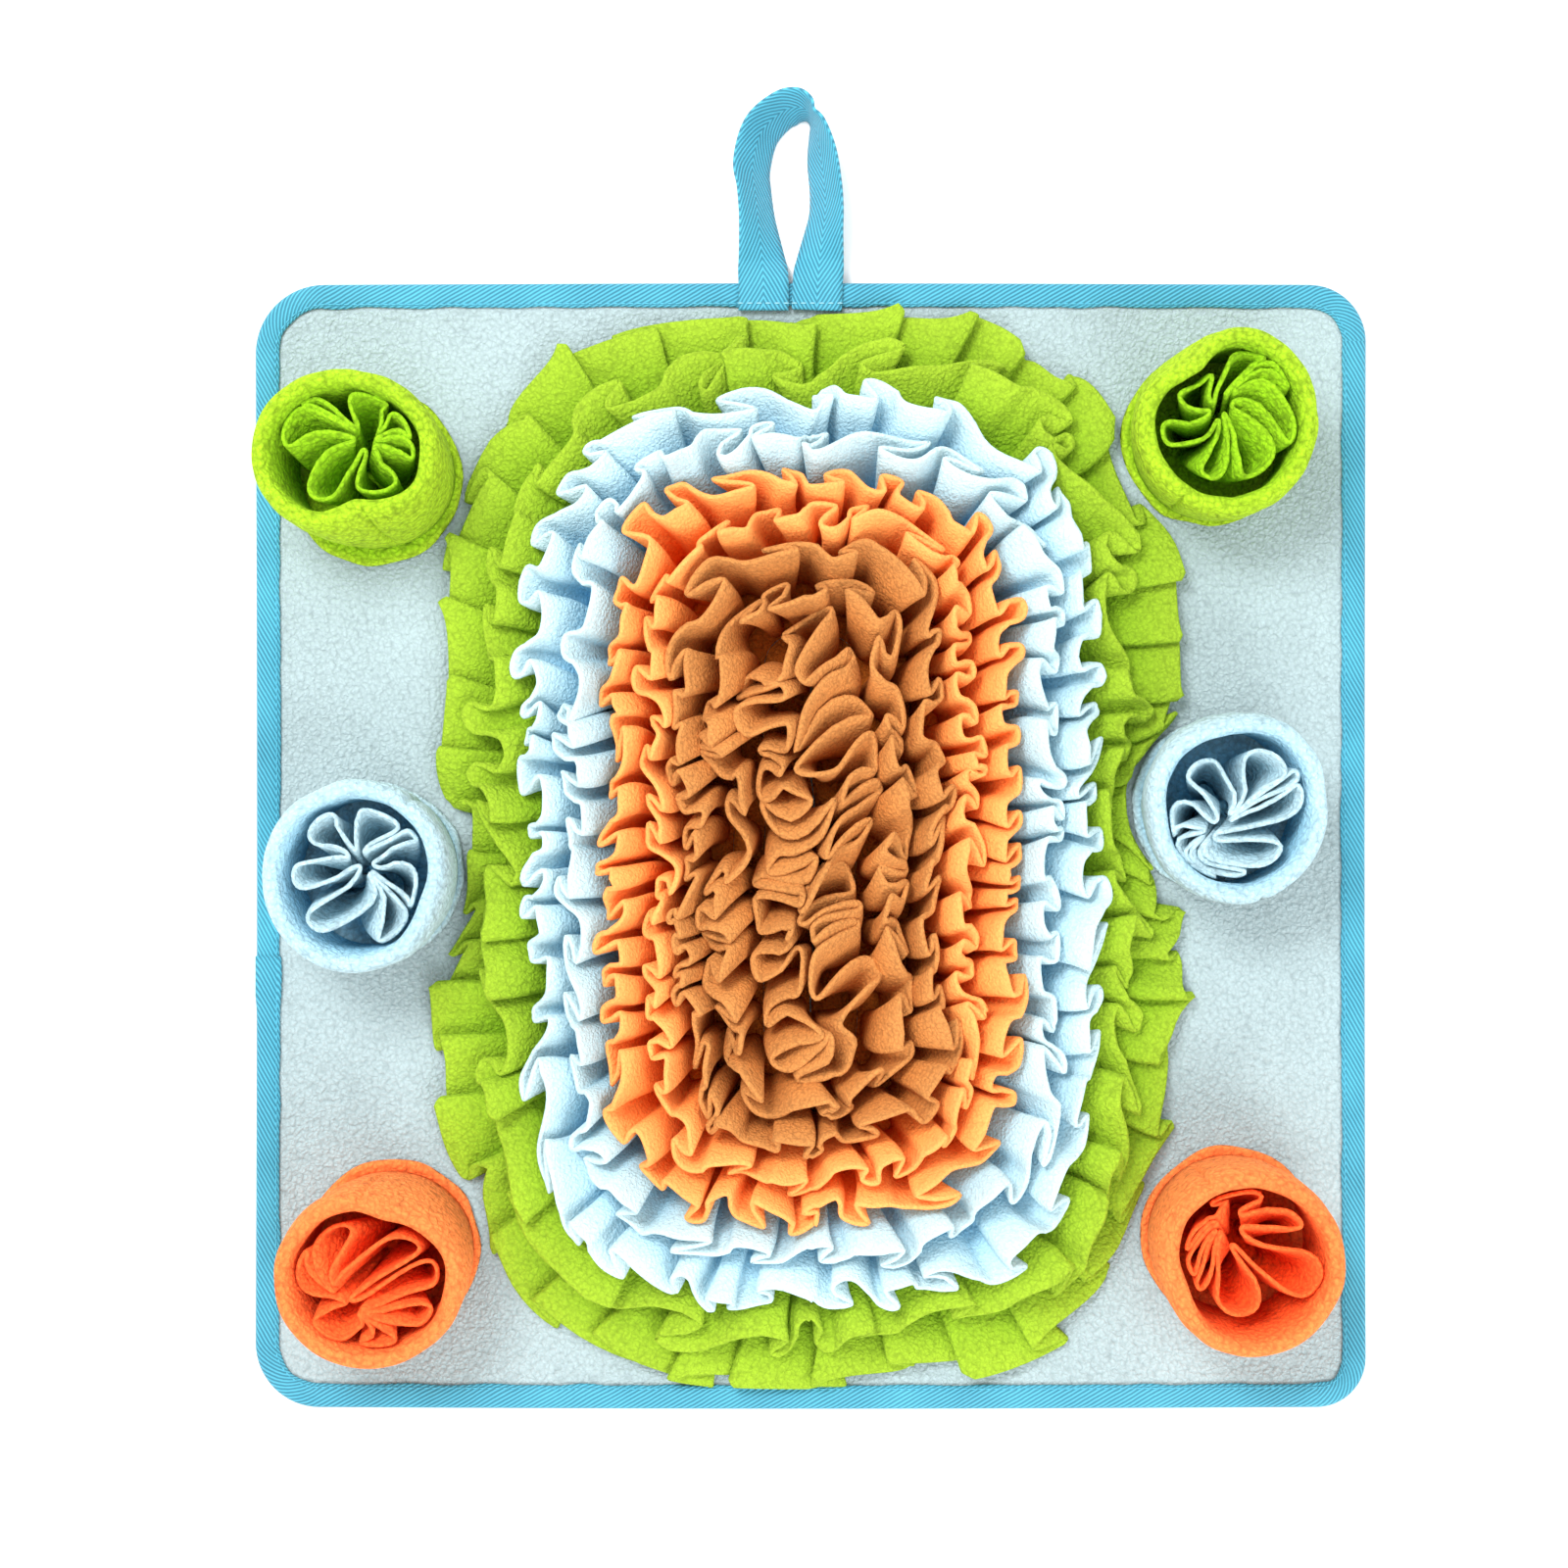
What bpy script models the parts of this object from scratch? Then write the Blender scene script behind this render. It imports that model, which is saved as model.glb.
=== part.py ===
"""Snuffle mat: a bound fleece pad with gathered fleece frills and six treat cups, lying flat.

The pad lies on the XY plane with its underside at Z = 0, and the origin is the centre of that
underside. +Y runs to the edge that carries the hanging loop. Sizes in the tables are millimetres.
"""

import math
from collections import namedtuple

import bmesh
import bpy
import numpy as np

MM = 0.001

# ---- driving sizes, in millimetres -------------------------------------------------------------
PAD_WIDTH = 450.0
PAD_LENGTH = 455.0
PAD_THICKNESS = 3.0
TAPE_WIDTH = 20.3
TAPE_THICKNESS = 1.1
FRILL_THICKNESS = 2.2
"""Set along the corners of the folds, so that the cloth between them is 1.5 to 2 mm thick."""
CUP_CLOTH = 2.6
CUP_HEIGHT = 43.0
BASE_THICKNESS = 2.0
GAP = 0.3
SPINE_HALF = 67.0
"""Half the length of the straight middle of the oval that every frill is sewn along."""

PAD_TOP = PAD_THICKNESS + GAP

# ---- materials ----------------------------------------------------------------------------------
Cloth = namedtuple("Cloth", "name red green blue roughness")
CLOTHS = (
    Cloth("pad_fleece", 0.66, 0.84, 0.88, 0.95),
    Cloth("tape", 0.11, 0.50, 0.68, 0.75),
    Cloth("green_fleece", 0.36, 0.66, 0.02, 0.95),
    Cloth("blue_fleece", 0.60, 0.80, 0.92, 0.95),
    Cloth("orange_fleece", 0.95, 0.27, 0.08, 0.95),
    Cloth("brown_fleece", 0.45, 0.19, 0.06, 0.95),
)


def make_materials():
    made = {}
    for cloth in CLOTHS:
        material = bpy.data.materials.new(cloth.name)
        material.use_nodes = True
        shader = material.node_tree.nodes["Principled BSDF"]
        shader.inputs["Base Color"].default_value = (cloth.red, cloth.green, cloth.blue, 1.0)
        shader.inputs["Roughness"].default_value = cloth.roughness
        shader.inputs["Metallic"].default_value = 0.0
        made[cloth.name] = material
    return made


# ---- building helpers ---------------------------------------------------------------------------
CREASE_DEGREES = 50.0
"""Edges that turn by more than this are shaded as creases."""


def add_object(name, mesh, material, collection):
    obj = bpy.data.objects.new(name, mesh)
    mesh.materials.append(material)
    mesh.shade_smooth()
    mesh.set_sharp_from_angle(angle=math.radians(CREASE_DEGREES))
    collection.objects.link(obj)
    return obj


def mesh_from_rows(name, rows, closed):
    """A surface through rows of points, each row an (n, 3) array in millimetres."""
    count = len(rows[0])
    steps = count if closed else count - 1
    faces = [
        (r * count + i, r * count + (i + 1) % count, (r + 1) * count + (i + 1) % count, (r + 1) * count + i)
        for r in range(len(rows) - 1)
        for i in range(steps)
    ]
    mesh = bpy.data.meshes.new(name)
    mesh.from_pydata([tuple(p) for p in np.vstack(rows) * MM], [], faces)
    return mesh


def cloth_object(name, rows, thickness, closed, material, collection, even=True):
    """A piece of cloth: the surface through its middle, thickened to both sides."""
    obj = add_object(name, mesh_from_rows(name, rows, closed), material, collection)
    solidify = obj.modifiers.new("cloth_thickness", "SOLIDIFY")
    solidify.thickness = thickness * MM
    solidify.offset = 0.0
    solidify.use_even_offset = even
    return obj


# ---- pad and its binding ------------------------------------------------------------------------
Corner = namedtuple("Corner", "x_side y_side radius")
CORNERS = (  # anticlockwise from the corner nearest +X +Y
    Corner(1, 1, 23.0),
    Corner(-1, 1, 28.0),
    Corner(-1, -1, 26.0),
    Corner(1, -1, 20.0),
)
EDGE_BOWS = (0.6, -0.5, 0.7, -0.4)
"""How far each edge bows out at its middle: far edge, left edge, near edge, right edge."""
CORNER_STEPS = 5
EDGE_STEPS = 3


def pad_outline():
    """Points round the outer edge of the bound pad, and the outward direction at each."""
    points = []
    normals = []
    for index, corner in enumerate(CORNERS):
        centre = np.array([
            corner.x_side * (PAD_WIDTH / 2 - corner.radius),
            corner.y_side * (PAD_LENGTH / 2 - corner.radius),
        ])
        for angle in np.linspace(index * math.pi / 2, (index + 1) * math.pi / 2, CORNER_STEPS + 1):
            normal = np.array([math.cos(angle), math.sin(angle)])
            points.append(centre + corner.radius * normal)
            normals.append(normal)
        following = CORNERS[(index + 1) % 4]
        start = points[-1]
        end = np.array([
            following.x_side * (PAD_WIDTH / 2 - following.radius),
            following.y_side * (PAD_LENGTH / 2 - following.radius),
        ]) + following.radius * normals[-1]
        for share in np.linspace(0, 1, EDGE_STEPS + 2)[1:-1]:
            bow = EDGE_BOWS[index] * math.sin(math.pi * share)
            points.append(start + share * (end - start) + bow * normals[-1])
            normals.append(normals[-1])
    return np.array(points), np.array(normals)


def outline_row(inset, height):
    """The pad's outline moved in by inset, at one height."""
    points, normals = pad_outline()
    flat = points - inset * normals
    return np.column_stack([flat, np.full(len(flat), height)])


BINDING_REACH = TAPE_WIDTH / 2 - 0.4
PINCHED = 2.0
"""The pad's thickness where the binding presses it."""
FOLD_ROOM = 1.8
"""From the tape's inner face at its fold to the pad's edge."""
PINCH_START = 1.0
PINCH_END = 4.0
"""Where the pad starts to swell past the binding, and where it has its full thickness again."""
FOLD_TURN = 1.65
FOLD_RISE = 1.1
"""How far along and up the tape takes to turn over the edge."""


def make_pad(materials, collection):
    low = TAPE_THICKNESS + GAP
    high = low + PINCHED
    rows = [
        outline_row(BINDING_REACH + PINCH_END, 0.0),
        outline_row(BINDING_REACH + PINCH_START, low),
        outline_row(TAPE_THICKNESS + FOLD_ROOM, low),
        outline_row(TAPE_THICKNESS + FOLD_ROOM, high),
        outline_row(BINDING_REACH + PINCH_START, high),
        outline_row(BINDING_REACH + PINCH_END, PAD_THICKNESS),
    ]
    mesh = mesh_from_rows("pad", rows, closed=True)
    shell = bmesh.new()
    shell.from_mesh(mesh)
    bmesh.ops.holes_fill(shell, edges=[e for e in shell.edges if e.is_boundary])
    bmesh.ops.recalc_face_normals(shell, faces=shell.faces)
    shell.to_mesh(mesh)
    shell.free()
    return add_object("pad", mesh, materials["pad_fleece"], collection)


def make_binding(materials, collection):
    """Twill tape folded over the pad's edge: a U in section, run right round."""
    half = TAPE_THICKNESS / 2
    top = 2 * TAPE_THICKNESS + 2 * GAP + PINCHED - half
    rows = [
        outline_row(BINDING_REACH, half),
        outline_row(half + FOLD_TURN, half),
        outline_row(half, half + FOLD_RISE),
        outline_row(half, top - FOLD_RISE),
        outline_row(half + FOLD_TURN, top),
        outline_row(BINDING_REACH, top),
    ]
    return cloth_object("binding", rows, TAPE_THICKNESS, True, materials["tape"], collection)


# ---- hanging loop -------------------------------------------------------------------------------
LoopStation = namedtuple("LoopStation", "x y tilt")
LOOP = (  # the middle of the tape, and how far its outer edge is turned up, in degrees
    LoopStation(-19.1, 216.6, 0),
    LoopStation(-19.1, 228.5, 0),
    LoopStation(-19.9, 239.5, 27),
    LoopStation(-21.5, 254.3, 46),
    LoopStation(-22.9, 268.0, 50),
    LoopStation(-23.8, 278.5, 46),
    LoopStation(-20.3, 292.5, 48),
    LoopStation(-12.5, 301.0, 56),
    LoopStation(-6.2, 303.3, 62),
    LoopStation(-1.6, 302.0, 76),
    LoopStation(0.6, 298.6, 86),
    LoopStation(2.6, 293.6, 74),
    LoopStation(4.4, 281.8, 58),
    LoopStation(6.0, 268.2, 54),
    LoopStation(6.2, 257.8, 50),
    LoopStation(5.0, 247.6, 40),
    LoopStation(3.8, 237.5, 22),
    LoopStation(2.9, 228.5, 0),
    LoopStation(2.4, 216.6, 0),
)
FLAT_UNTIL = 27.0
"""The tilt in degrees by which the tape has left the pad's top."""
FLOOR_CLEARANCE = 0.1
LEAST_LIFT = 0.8
"""The loop's middle never drops below this share of its height over the binding."""


def make_loop(materials, collection):
    """The tape stands partly on its inner edge all round, as a flat tape must to turn back."""
    middle = np.array([[s.x, s.y] for s in LOOP])
    tilt = np.radians([s.tilt for s in LOOP])
    along = np.gradient(middle, axis=0)
    along /= np.linalg.norm(along, axis=1)[:, None]
    outward = np.column_stack([-along[:, 1], along[:, 0]])
    half = TAPE_WIDTH / 2
    on_pad = 2 * TAPE_THICKNESS + 2 * GAP + PINCHED + GAP + TAPE_THICKNESS / 2
    flat_share = np.clip(1 - tilt / math.radians(FLAT_UNTIL), 0, 1)
    on_floor = half * np.sin(tilt) + TAPE_THICKNESS / 2 * np.cos(tilt) + FLOOR_CLEARANCE
    height = flat_share * on_pad + (1 - flat_share) * np.maximum(on_floor, LEAST_LIFT * on_pad)
    rows = []
    for side in (-half, half):
        reach = side * np.cos(tilt)[:, None] * outward
        rows.append(np.column_stack([middle + reach, height + side * np.sin(tilt)]))
    return cloth_object("loop", rows, TAPE_THICKNESS, False, materials["tape"], collection)


# ---- treat cups ---------------------------------------------------------------------------------
Cup = namedtuple("Cup", "name cloth x y rim_x rim_y lean_x lean_y dent_angle dent folds seed")
CUPS = (  # base centre, half width and length of the rim, lean of the rim, its dent, frill inside
    Cup("green_left", "green_fleece", -176.0, 149.0, 37.5, 34.0, -6.0, 5.0, -75, 5.0, 6, 11),
    Cup("blue_left", "blue_fleece", -175.0, -10.0, 37.5, 38.5, -2.5, -1.0, -20, 2.0, 6, 12),
    Cup("orange_left", "orange_fleece", -169.0, -162.0, 38.0, 36.0, -3.5, -5.5, 70, 3.0, 6, 13),
    Cup("green_right", "green_fleece", 161.0, 165.0, 36.5, 38.5, 0.5, 2.0, 125, 6.0, 6, 14),
    Cup("blue_right", "blue_fleece", 165.0, 16.0, 36.0, 39.5, 0.5, 1.0, 100, 3.0, 6, 15),
    Cup("orange_right", "orange_fleece", 169.0, -157.0, 38.0, 37.5, 1.5, -4.5, 200, 3.0, 6, 16),
)
CUP_SIDES = 18
CupRing = namedtuple("CupRing", "inset height")
CUP_PROFILE = (  # middle of the cloth, from the outer foot over the folded rim and down inside
    CupRing(5.0, 0.5),
    CupRing(1.6, 20.0),
    CupRing(0.4, 35.0),
    CupRing(3.2, 41.6),
    CupRing(7.0, 38.4),
    CupRing(8.6, 6.0),
)
DENT_SPREAD = 0.45
"""Half the width of a rim's dent, in radians."""
RIM_RISE = 0.9
"""Rings above this share of the height are the rim, lowered so that its crest keeps the height."""
BASE_RADIUS = 36.0
CUP_FLOOR = PAD_TOP + BASE_THICKNESS + GAP


def cup_reach(cup, angle, rise):
    """The cup's outer radius in one direction, at a share of its height."""
    swell = np.hypot(cup.rim_x * np.cos(angle), cup.rim_y * np.sin(angle))
    away = np.angle(np.exp(1j * (angle - math.radians(cup.dent_angle))))
    return swell - cup.dent * rise**2 * np.exp(-((away / DENT_SPREAD) ** 2))


def make_cup_wall(cup, materials, collection):
    """A band of fleece folded double: outer layer, rolled rim and inner layer."""
    angle = np.linspace(0, 2 * math.pi, CUP_SIDES, endpoint=False)
    rows = []
    for ring in CUP_PROFILE:
        rise = ring.height / CUP_HEIGHT
        radius = cup_reach(cup, angle, rise) - CUP_CLOTH / 2 - ring.inset
        rows.append(np.column_stack([
            cup.x + cup.lean_x * rise + radius * np.cos(angle),
            cup.y + cup.lean_y * rise + radius * np.sin(angle),
            np.full(CUP_SIDES, CUP_FLOOR + ring.height - CUP_CLOTH / 2 * (rise > RIM_RISE)),
        ]))
    name = "cup_wall_" + cup.name
    return cloth_object(name, rows, CUP_CLOTH, True, materials[cup.cloth], collection)


def make_cup_base(cup, materials, collection):
    bpy.ops.mesh.primitive_cylinder_add(
        vertices=CUP_SIDES,
        radius=BASE_RADIUS * MM,
        depth=BASE_THICKNESS * MM,
        location=(cup.x * MM, cup.y * MM, (PAD_TOP + BASE_THICKNESS / 2) * MM),
    )
    base = bpy.context.object
    base.name = "cup_base_" + cup.name
    base.data.materials.append(materials[cup.cloth])
    for owner in base.users_collection:
        owner.objects.unlink(base)
    collection.objects.link(base)
    return base


# ---- gathered frills ----------------------------------------------------------------------------
# Each frill is a long strip sewn down along its root and folded back and forth between two leaning
# surfaces. Neighbouring frills share the surface between them, so that they never cross.
Surface = namedtuple("Surface", "root root_z tip tip_z sway weave seed")
SURFACES = {  # radius and height at root and free edge, how much it wanders, and both sides as one
    "floor": Surface(110.0, PAD_TOP, 149.0, PAD_TOP, 1.6, 0.0, 1),
    "green_lap": Surface(108.0, 7.3, 147.0, 12.6, 1.6, 0.0, 1),
    "green_mid": Surface(98.0, PAD_TOP, 134.0, 19.0, 2.2, 0.0, 2),
    "green_blue": Surface(86.0, PAD_TOP, 116.0, 27.0, 2.6, 0.0, 3),
    "blue_mid": Surface(74.0, PAD_TOP, 101.0, 32.0, 2.4, 0.0, 4),
    "blue_orange": Surface(62.0, PAD_TOP, 80.5, 37.0, 2.6, 0.0, 5),
    "orange_mid": Surface(50.0, PAD_TOP, 66.0, 40.0, 1.8, 0.0, 6),
    "orange_brown": Surface(38.5, PAD_TOP, 51.0, 41.5, 2.2, 1.0, 7),
    "brown_mid": Surface(27.0, PAD_TOP, 35.0, 42.5, 1.8, 3.0, 8),
    "brown_in": Surface(15.0, PAD_TOP, 18.0, 43.0, 1.2, 5.0, 9),
    "heart": Surface(3.0, PAD_TOP, 2.2, 43.2, 0.0, 7.0, 10),
}
WEAVE_LENGTH = 58.0
"""How far along the spine the middle frills swing to one side and back."""
Frill = namedtuple("Frill", "name cloth outer inner folds overhang slant jitter seed")
FRILLS = (
    Frill("frill_green_outer", "green_fleece", "floor", "green_lap", 46, -0.06, 0.17, 0.12, 21),
    Frill("frill_green_inner", "green_fleece", "green_mid", "green_blue", 42, 0.11, 0.09, 0.17, 22),
    Frill("frill_blue_outer", "blue_fleece", "green_blue", "blue_mid", 41, 0.10, 0.12, 0.15, 23),
    Frill("frill_blue_inner", "blue_fleece", "blue_mid", "blue_orange", 38, 0.16, 0.08, 0.22, 24),
    Frill("frill_orange_outer", "orange_fleece", "blue_orange", "orange_mid", 39, 0.12, 0.14, 0.16, 25),
    Frill("frill_orange_inner", "orange_fleece", "orange_mid", "orange_brown", 36, 0.16, 0.08, 0.16, 26),
    Frill("frill_brown_outer", "brown_fleece", "orange_brown", "brown_mid", 34, 0.16, 0.06, 0.16, 27),
    Frill("frill_brown_middle", "brown_fleece", "brown_mid", "brown_in", 30, 0.16, 0.06, 0.14, 28),
    Frill("frill_brown_heart", "brown_fleece", "brown_in", "heart", 23, 0.10, 0.04, 0.10, 29),
)
FRILL_MARGIN = FRILL_THICKNESS / 2 + 0.2
ROOT_OVERHANG = 0.35
ROOT_SLANT = 0.3
SWAY_RADIUS = 80.0
"""The radius at which the surfaces' wandering is measured round the oval."""
CORNER_FILL = 0.11
"""How much further the oval reaches at its four corners than a plain half circle would."""
ROOT_FREEDOM = 0.2
"""The share of the wandering that is left along the sewn roots."""
LAP_JITTER = 1.2
SHIFT_JITTER = 0.25
DEPTH_JITTER = 1.6
"""How strongly a frill's jitter acts on its folds' laps, places and depths."""
LEAST_DEPTH = 0.05


def on_oval(distance, radius, spine_half):
    """Where a distance round the oval of one radius lies: its centre on the spine, and its angle."""
    straight = 2 * spine_half
    arc = math.pi * radius
    d = np.mod(distance, 2 * straight + 2 * arc)
    legs = [straight, straight + arc, 2 * straight + arc]
    centre = np.select(
        [d < legs[0], d < legs[1], d < legs[2]],
        [d - spine_half, spine_half, spine_half - (d - legs[1])],
        -spine_half,
    )
    angle = np.select(
        [d < legs[0], d < legs[1], d < legs[2]],
        [0.0, (d - legs[0]) / radius, math.pi],
        math.pi + (d - legs[2]) / radius,
    )
    return centre, angle


def wander(centre, angle, spine_half, seed):
    """A slow wave from -1 to 1 round the oval."""
    side = np.where(np.cos(angle) >= 0, 1.0, -1.0)
    round_it = SWAY_RADIUS * angle + side * centre
    whole = 4 * spine_half + 2 * math.pi * SWAY_RADIUS
    phases = np.random.RandomState(seed).uniform(0, 2 * math.pi, 3)
    waves = [
        weight * np.sin(2 * math.pi * turns * round_it / whole + phase)
        for weight, turns, phase in zip((0.5, 0.3, 0.2), (3, 5, 8), phases)
    ]
    return sum(waves)


def filled_out(angle):
    """The factor that squares up the rounded ends of the oval."""
    return 1 + CORNER_FILL * np.sin(2 * angle) ** 2


PUSH_END = 68.0
PUSH_CLEARANCE = 0.6


def pushed_by_cups(points):
    """Moves frill points that a cup crowds straight away from the cup's middle."""
    moved = points.copy()
    for cup in CUPS:
        keep_out = BASE_RADIUS + FRILL_THICKNESS / 2 + PUSH_CLEARANCE
        past_spine = max(abs(cup.y) - SPINE_HALF, 0.0)
        floor = SURFACES["floor"]
        frill_end = floor.tip * filled_out(math.atan2(past_spine, cup.x)) + floor.sway
        nearest = math.hypot(cup.x, past_spine) - frill_end
        if nearest >= keep_out:
            continue
        away = moved[:, :2] - (cup.x, cup.y)
        distance = np.linalg.norm(away, axis=1)
        crowding = np.clip((PUSH_END - distance) / (PUSH_END - nearest), 0, 1) ** 2
        wanted = distance + (keep_out - nearest) * crowding
        moved[:, :2] = (cup.x, cup.y) + away * (wanted / distance)[:, None]
    return moved


def surface_points(surface, centre, angle, at_tip):
    """Points on the mat's own guiding surfaces, at the root or at the free edge."""
    radius = surface.tip if at_tip else surface.root
    freedom = 1.0 if at_tip else ROOT_FREEDOM
    dying_out = np.cos(0.5 * math.pi * centre / SPINE_HALF)
    swing = np.sin(2 * math.pi * centre / WEAVE_LENGTH) * dying_out * np.cos(angle)
    sway = surface.sway * wander(centre, angle, SPINE_HALF, surface.seed)
    reach = (radius + freedom * (sway + surface.weave * swing)) * filled_out(angle)
    height = np.full(len(centre), surface.tip_z if at_tip else surface.root_z)
    flat = np.column_stack([reach * np.cos(angle), centre + reach * np.sin(angle), height])
    return pushed_by_cups(flat)


def fold_corners(length, folds, overhang, slant, jitter, seed):
    """Four corners for each fold: distance along at the tip and at the root, and side to side."""
    random = np.random.RandomState(seed)
    widths = 1 + jitter * random.uniform(-1, 1, folds)
    widths *= length / widths.sum()
    starts = np.concatenate([[0], np.cumsum(widths)[:-1]])
    tip, root, side = [], [], []
    for start, width in zip(starts, widths):
        lap = overhang * width * (1 + LAP_JITTER * jitter * random.uniform(-1, 1))
        lean = slant * width * (1 + LAP_JITTER * jitter * random.uniform(-1, 1))
        shift = SHIFT_JITTER * jitter * width * random.uniform(-1, 1, 4)
        depth = 1 - DEPTH_JITTER * jitter * random.uniform(0, 1, 4)
        for corner, (share, turn, face) in enumerate(((1, -1, 1), (3, 1, 1), (5, -1, -1), (7, 1, -1))):
            middle = start + share * width / 8
            tip.append(middle + turn * lap + face * lean + shift[corner])
            root.append(middle + ROOT_OVERHANG * turn * lap + ROOT_SLANT * face * lean)
            side.append(face * depth[corner])
    return np.array(tip), np.array(root), np.array(side)


def between(outer, inner, along, side, margin):
    """Points from side -1 at the inner surface to +1 at the outer, clear of both by the margin."""
    across = outer - inner
    span = np.linalg.norm(np.cross(across, along), axis=1) / np.linalg.norm(along, axis=1)
    reach = np.clip(1 - 2 * margin / span, LEAST_DEPTH, 1)
    return inner + across * (0.5 + 0.5 * side * reach)[:, None]


def make_frill(frill, materials, collection):
    outer = SURFACES[frill.outer]
    inner = SURFACES[frill.inner]
    radius = (outer.root + inner.root) / 2
    length = 4 * SPINE_HALF + 2 * math.pi * radius
    tip, root, side = fold_corners(
        length, frill.folds, frill.overhang, frill.slant, frill.jitter, frill.seed
    )
    ends = []
    for distance, at_tip in ((root, False), (tip, True)):
        centre, angle = on_oval(distance, radius, SPINE_HALF)
        ends.append([surface_points(s, centre, angle, at_tip) for s in (outer, inner)])
    along = sum(ends[1]) / 2 - sum(ends[0]) / 2
    rows = [between(pair[0], pair[1], along, side, FRILL_MARGIN) for pair in ends]
    leaning = np.linalg.norm(along[:, :2], axis=1) / np.linalg.norm(along, axis=1)
    rows[0][:, 2] += FRILL_THICKNESS / 2 * leaning * (outer.root_z == inner.root_z)
    cloth = materials[frill.cloth]
    return cloth_object(frill.name, rows, FRILL_THICKNESS, True, cloth, collection, even=False)


# ---- the frill inside each cup -------------------------------------------------------------------
PosyEdge = namedtuple("PosyEdge", "inner clearance rise")
POSY_EDGES = (  # inner radius, room left to the cup's own wall, and share of the height
    PosyEdge(7.0, 12.0, 0.0),
    PosyEdge(8.5, 1.6, 1.0),
)
POSY_HEIGHT = 30.7
POSY_SEAT = 0.4
"""How far the middle of the cloth stands above the cup's floor along the sewn root."""
CUP_WALL_DEPTH = CUP_CLOTH + 8.6


def make_posy(cup, materials, collection):
    """A short strip gathered into a ring of folds, sewn to the middle of the cup's floor."""
    tip, root, side = fold_corners(2 * math.pi, cup.folds, 0.07, 0.06, 0.26, cup.seed)
    rows = []
    for angle, edge in zip((root, tip), POSY_EDGES):
        rise = edge.rise * POSY_HEIGHT / CUP_HEIGHT
        far = cup_reach(cup, angle, rise) - CUP_WALL_DEPTH - FRILL_THICKNESS / 2 - edge.clearance
        reach = (edge.inner + far) / 2 + side * (far - edge.inner) / 2
        height = CUP_FLOOR + POSY_SEAT + edge.rise * POSY_HEIGHT
        rows.append(np.column_stack([
            cup.x + cup.lean_x * rise + reach * np.cos(angle),
            cup.y + cup.lean_y * rise + reach * np.sin(angle),
            np.full(len(angle), height),
        ]))
    name = "cup_frill_" + cup.name
    cloth = materials[cup.cloth]
    return cloth_object(name, rows, FRILL_THICKNESS, True, cloth, collection, even=False)


# ---- assembly -----------------------------------------------------------------------------------
def main():
    for obj in list(bpy.data.objects):
        bpy.data.objects.remove(obj)
    collection = bpy.data.collections.new("snuffle_mat")
    bpy.context.scene.collection.children.link(collection)
    materials = make_materials()
    make_pad(materials, collection)
    make_binding(materials, collection)
    make_loop(materials, collection)
    for frill in FRILLS:
        make_frill(frill, materials, collection)
    for cup in CUPS:
        make_cup_base(cup, materials, collection)
        make_cup_wall(cup, materials, collection)
        make_posy(cup, materials, collection)


main()
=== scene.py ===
import math
from collections import namedtuple
import bmesh
import bpy
import numpy as np
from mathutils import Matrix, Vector


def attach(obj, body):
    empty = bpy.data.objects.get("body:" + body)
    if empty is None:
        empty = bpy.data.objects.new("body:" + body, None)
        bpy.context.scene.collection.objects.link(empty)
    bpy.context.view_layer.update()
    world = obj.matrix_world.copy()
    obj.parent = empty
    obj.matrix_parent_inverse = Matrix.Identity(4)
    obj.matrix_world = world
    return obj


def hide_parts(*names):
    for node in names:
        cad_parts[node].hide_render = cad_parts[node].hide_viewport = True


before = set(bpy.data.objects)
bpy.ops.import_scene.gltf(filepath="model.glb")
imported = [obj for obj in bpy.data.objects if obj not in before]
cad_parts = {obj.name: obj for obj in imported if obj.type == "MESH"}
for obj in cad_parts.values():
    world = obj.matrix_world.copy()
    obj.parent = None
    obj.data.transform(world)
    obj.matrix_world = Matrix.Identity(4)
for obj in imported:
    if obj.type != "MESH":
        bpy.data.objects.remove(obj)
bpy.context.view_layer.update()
MM = 0.001


# --- The pad ----------------------------------------------------------
# One panel of pale blue fleece about 3 mm thick, cut with round corners. Its nap is brushed into
# short curls. The edge is pressed thin under the binding, and the sewing puckers it a little.

PAD_WIDTH = 450.0
PAD_LENGTH = 455.0
PAD_THICKNESS = 3.0
Corner = namedtuple("Corner", "x_side y_side radius")
PAD_CORNERS = (
    Corner(1, 1, 23.0),
    Corner(-1, 1, 28.0),
    Corner(-1, -1, 26.0),
    Corner(1, -1, 20.0),
)
EDGE_BOWS = (0.6, -0.5, 0.7, -0.4)
TAPE_WIDTH = 20.3
TAPE_THICKNESS = 1.1
BINDING_REACH = TAPE_WIDTH / 2 - 0.4
PRESSED = 2.0
UNDER_TAPE = TAPE_THICKNESS + 0.3
PRESSED_TOP = UNDER_TAPE + PRESSED
TAPE_TOP = 2 * UNDER_TAPE + PRESSED
Ring = namedtuple("Ring", "inset height ripple")
PAD_EDGE = (
    Ring(BINDING_REACH + 4.0, 0.0, 0.0),
    Ring(BINDING_REACH + 1.0, UNDER_TAPE - 0.3, 0.0),
    Ring(3.2, UNDER_TAPE, 0.0),
    Ring(2.6, (UNDER_TAPE + PRESSED_TOP) / 2, 0.0),
    Ring(3.2, PRESSED_TOP, 0.0),
    Ring(BINDING_REACH + 0.4, PRESSED_TOP - 0.1, 0.0),
    Ring(BINDING_REACH + 1.6, PRESSED_TOP + 0.1, 0.1),
    Ring(BINDING_REACH + 4.0, PAD_THICKNESS, 0.25),
    Ring(BINDING_REACH + 8.0, PAD_THICKNESS - 0.2, 0.25),
)
PAD_ROWS = 46
PAD_RIPPLE = 0.2
PUCKER_PITCH = 16.0


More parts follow.
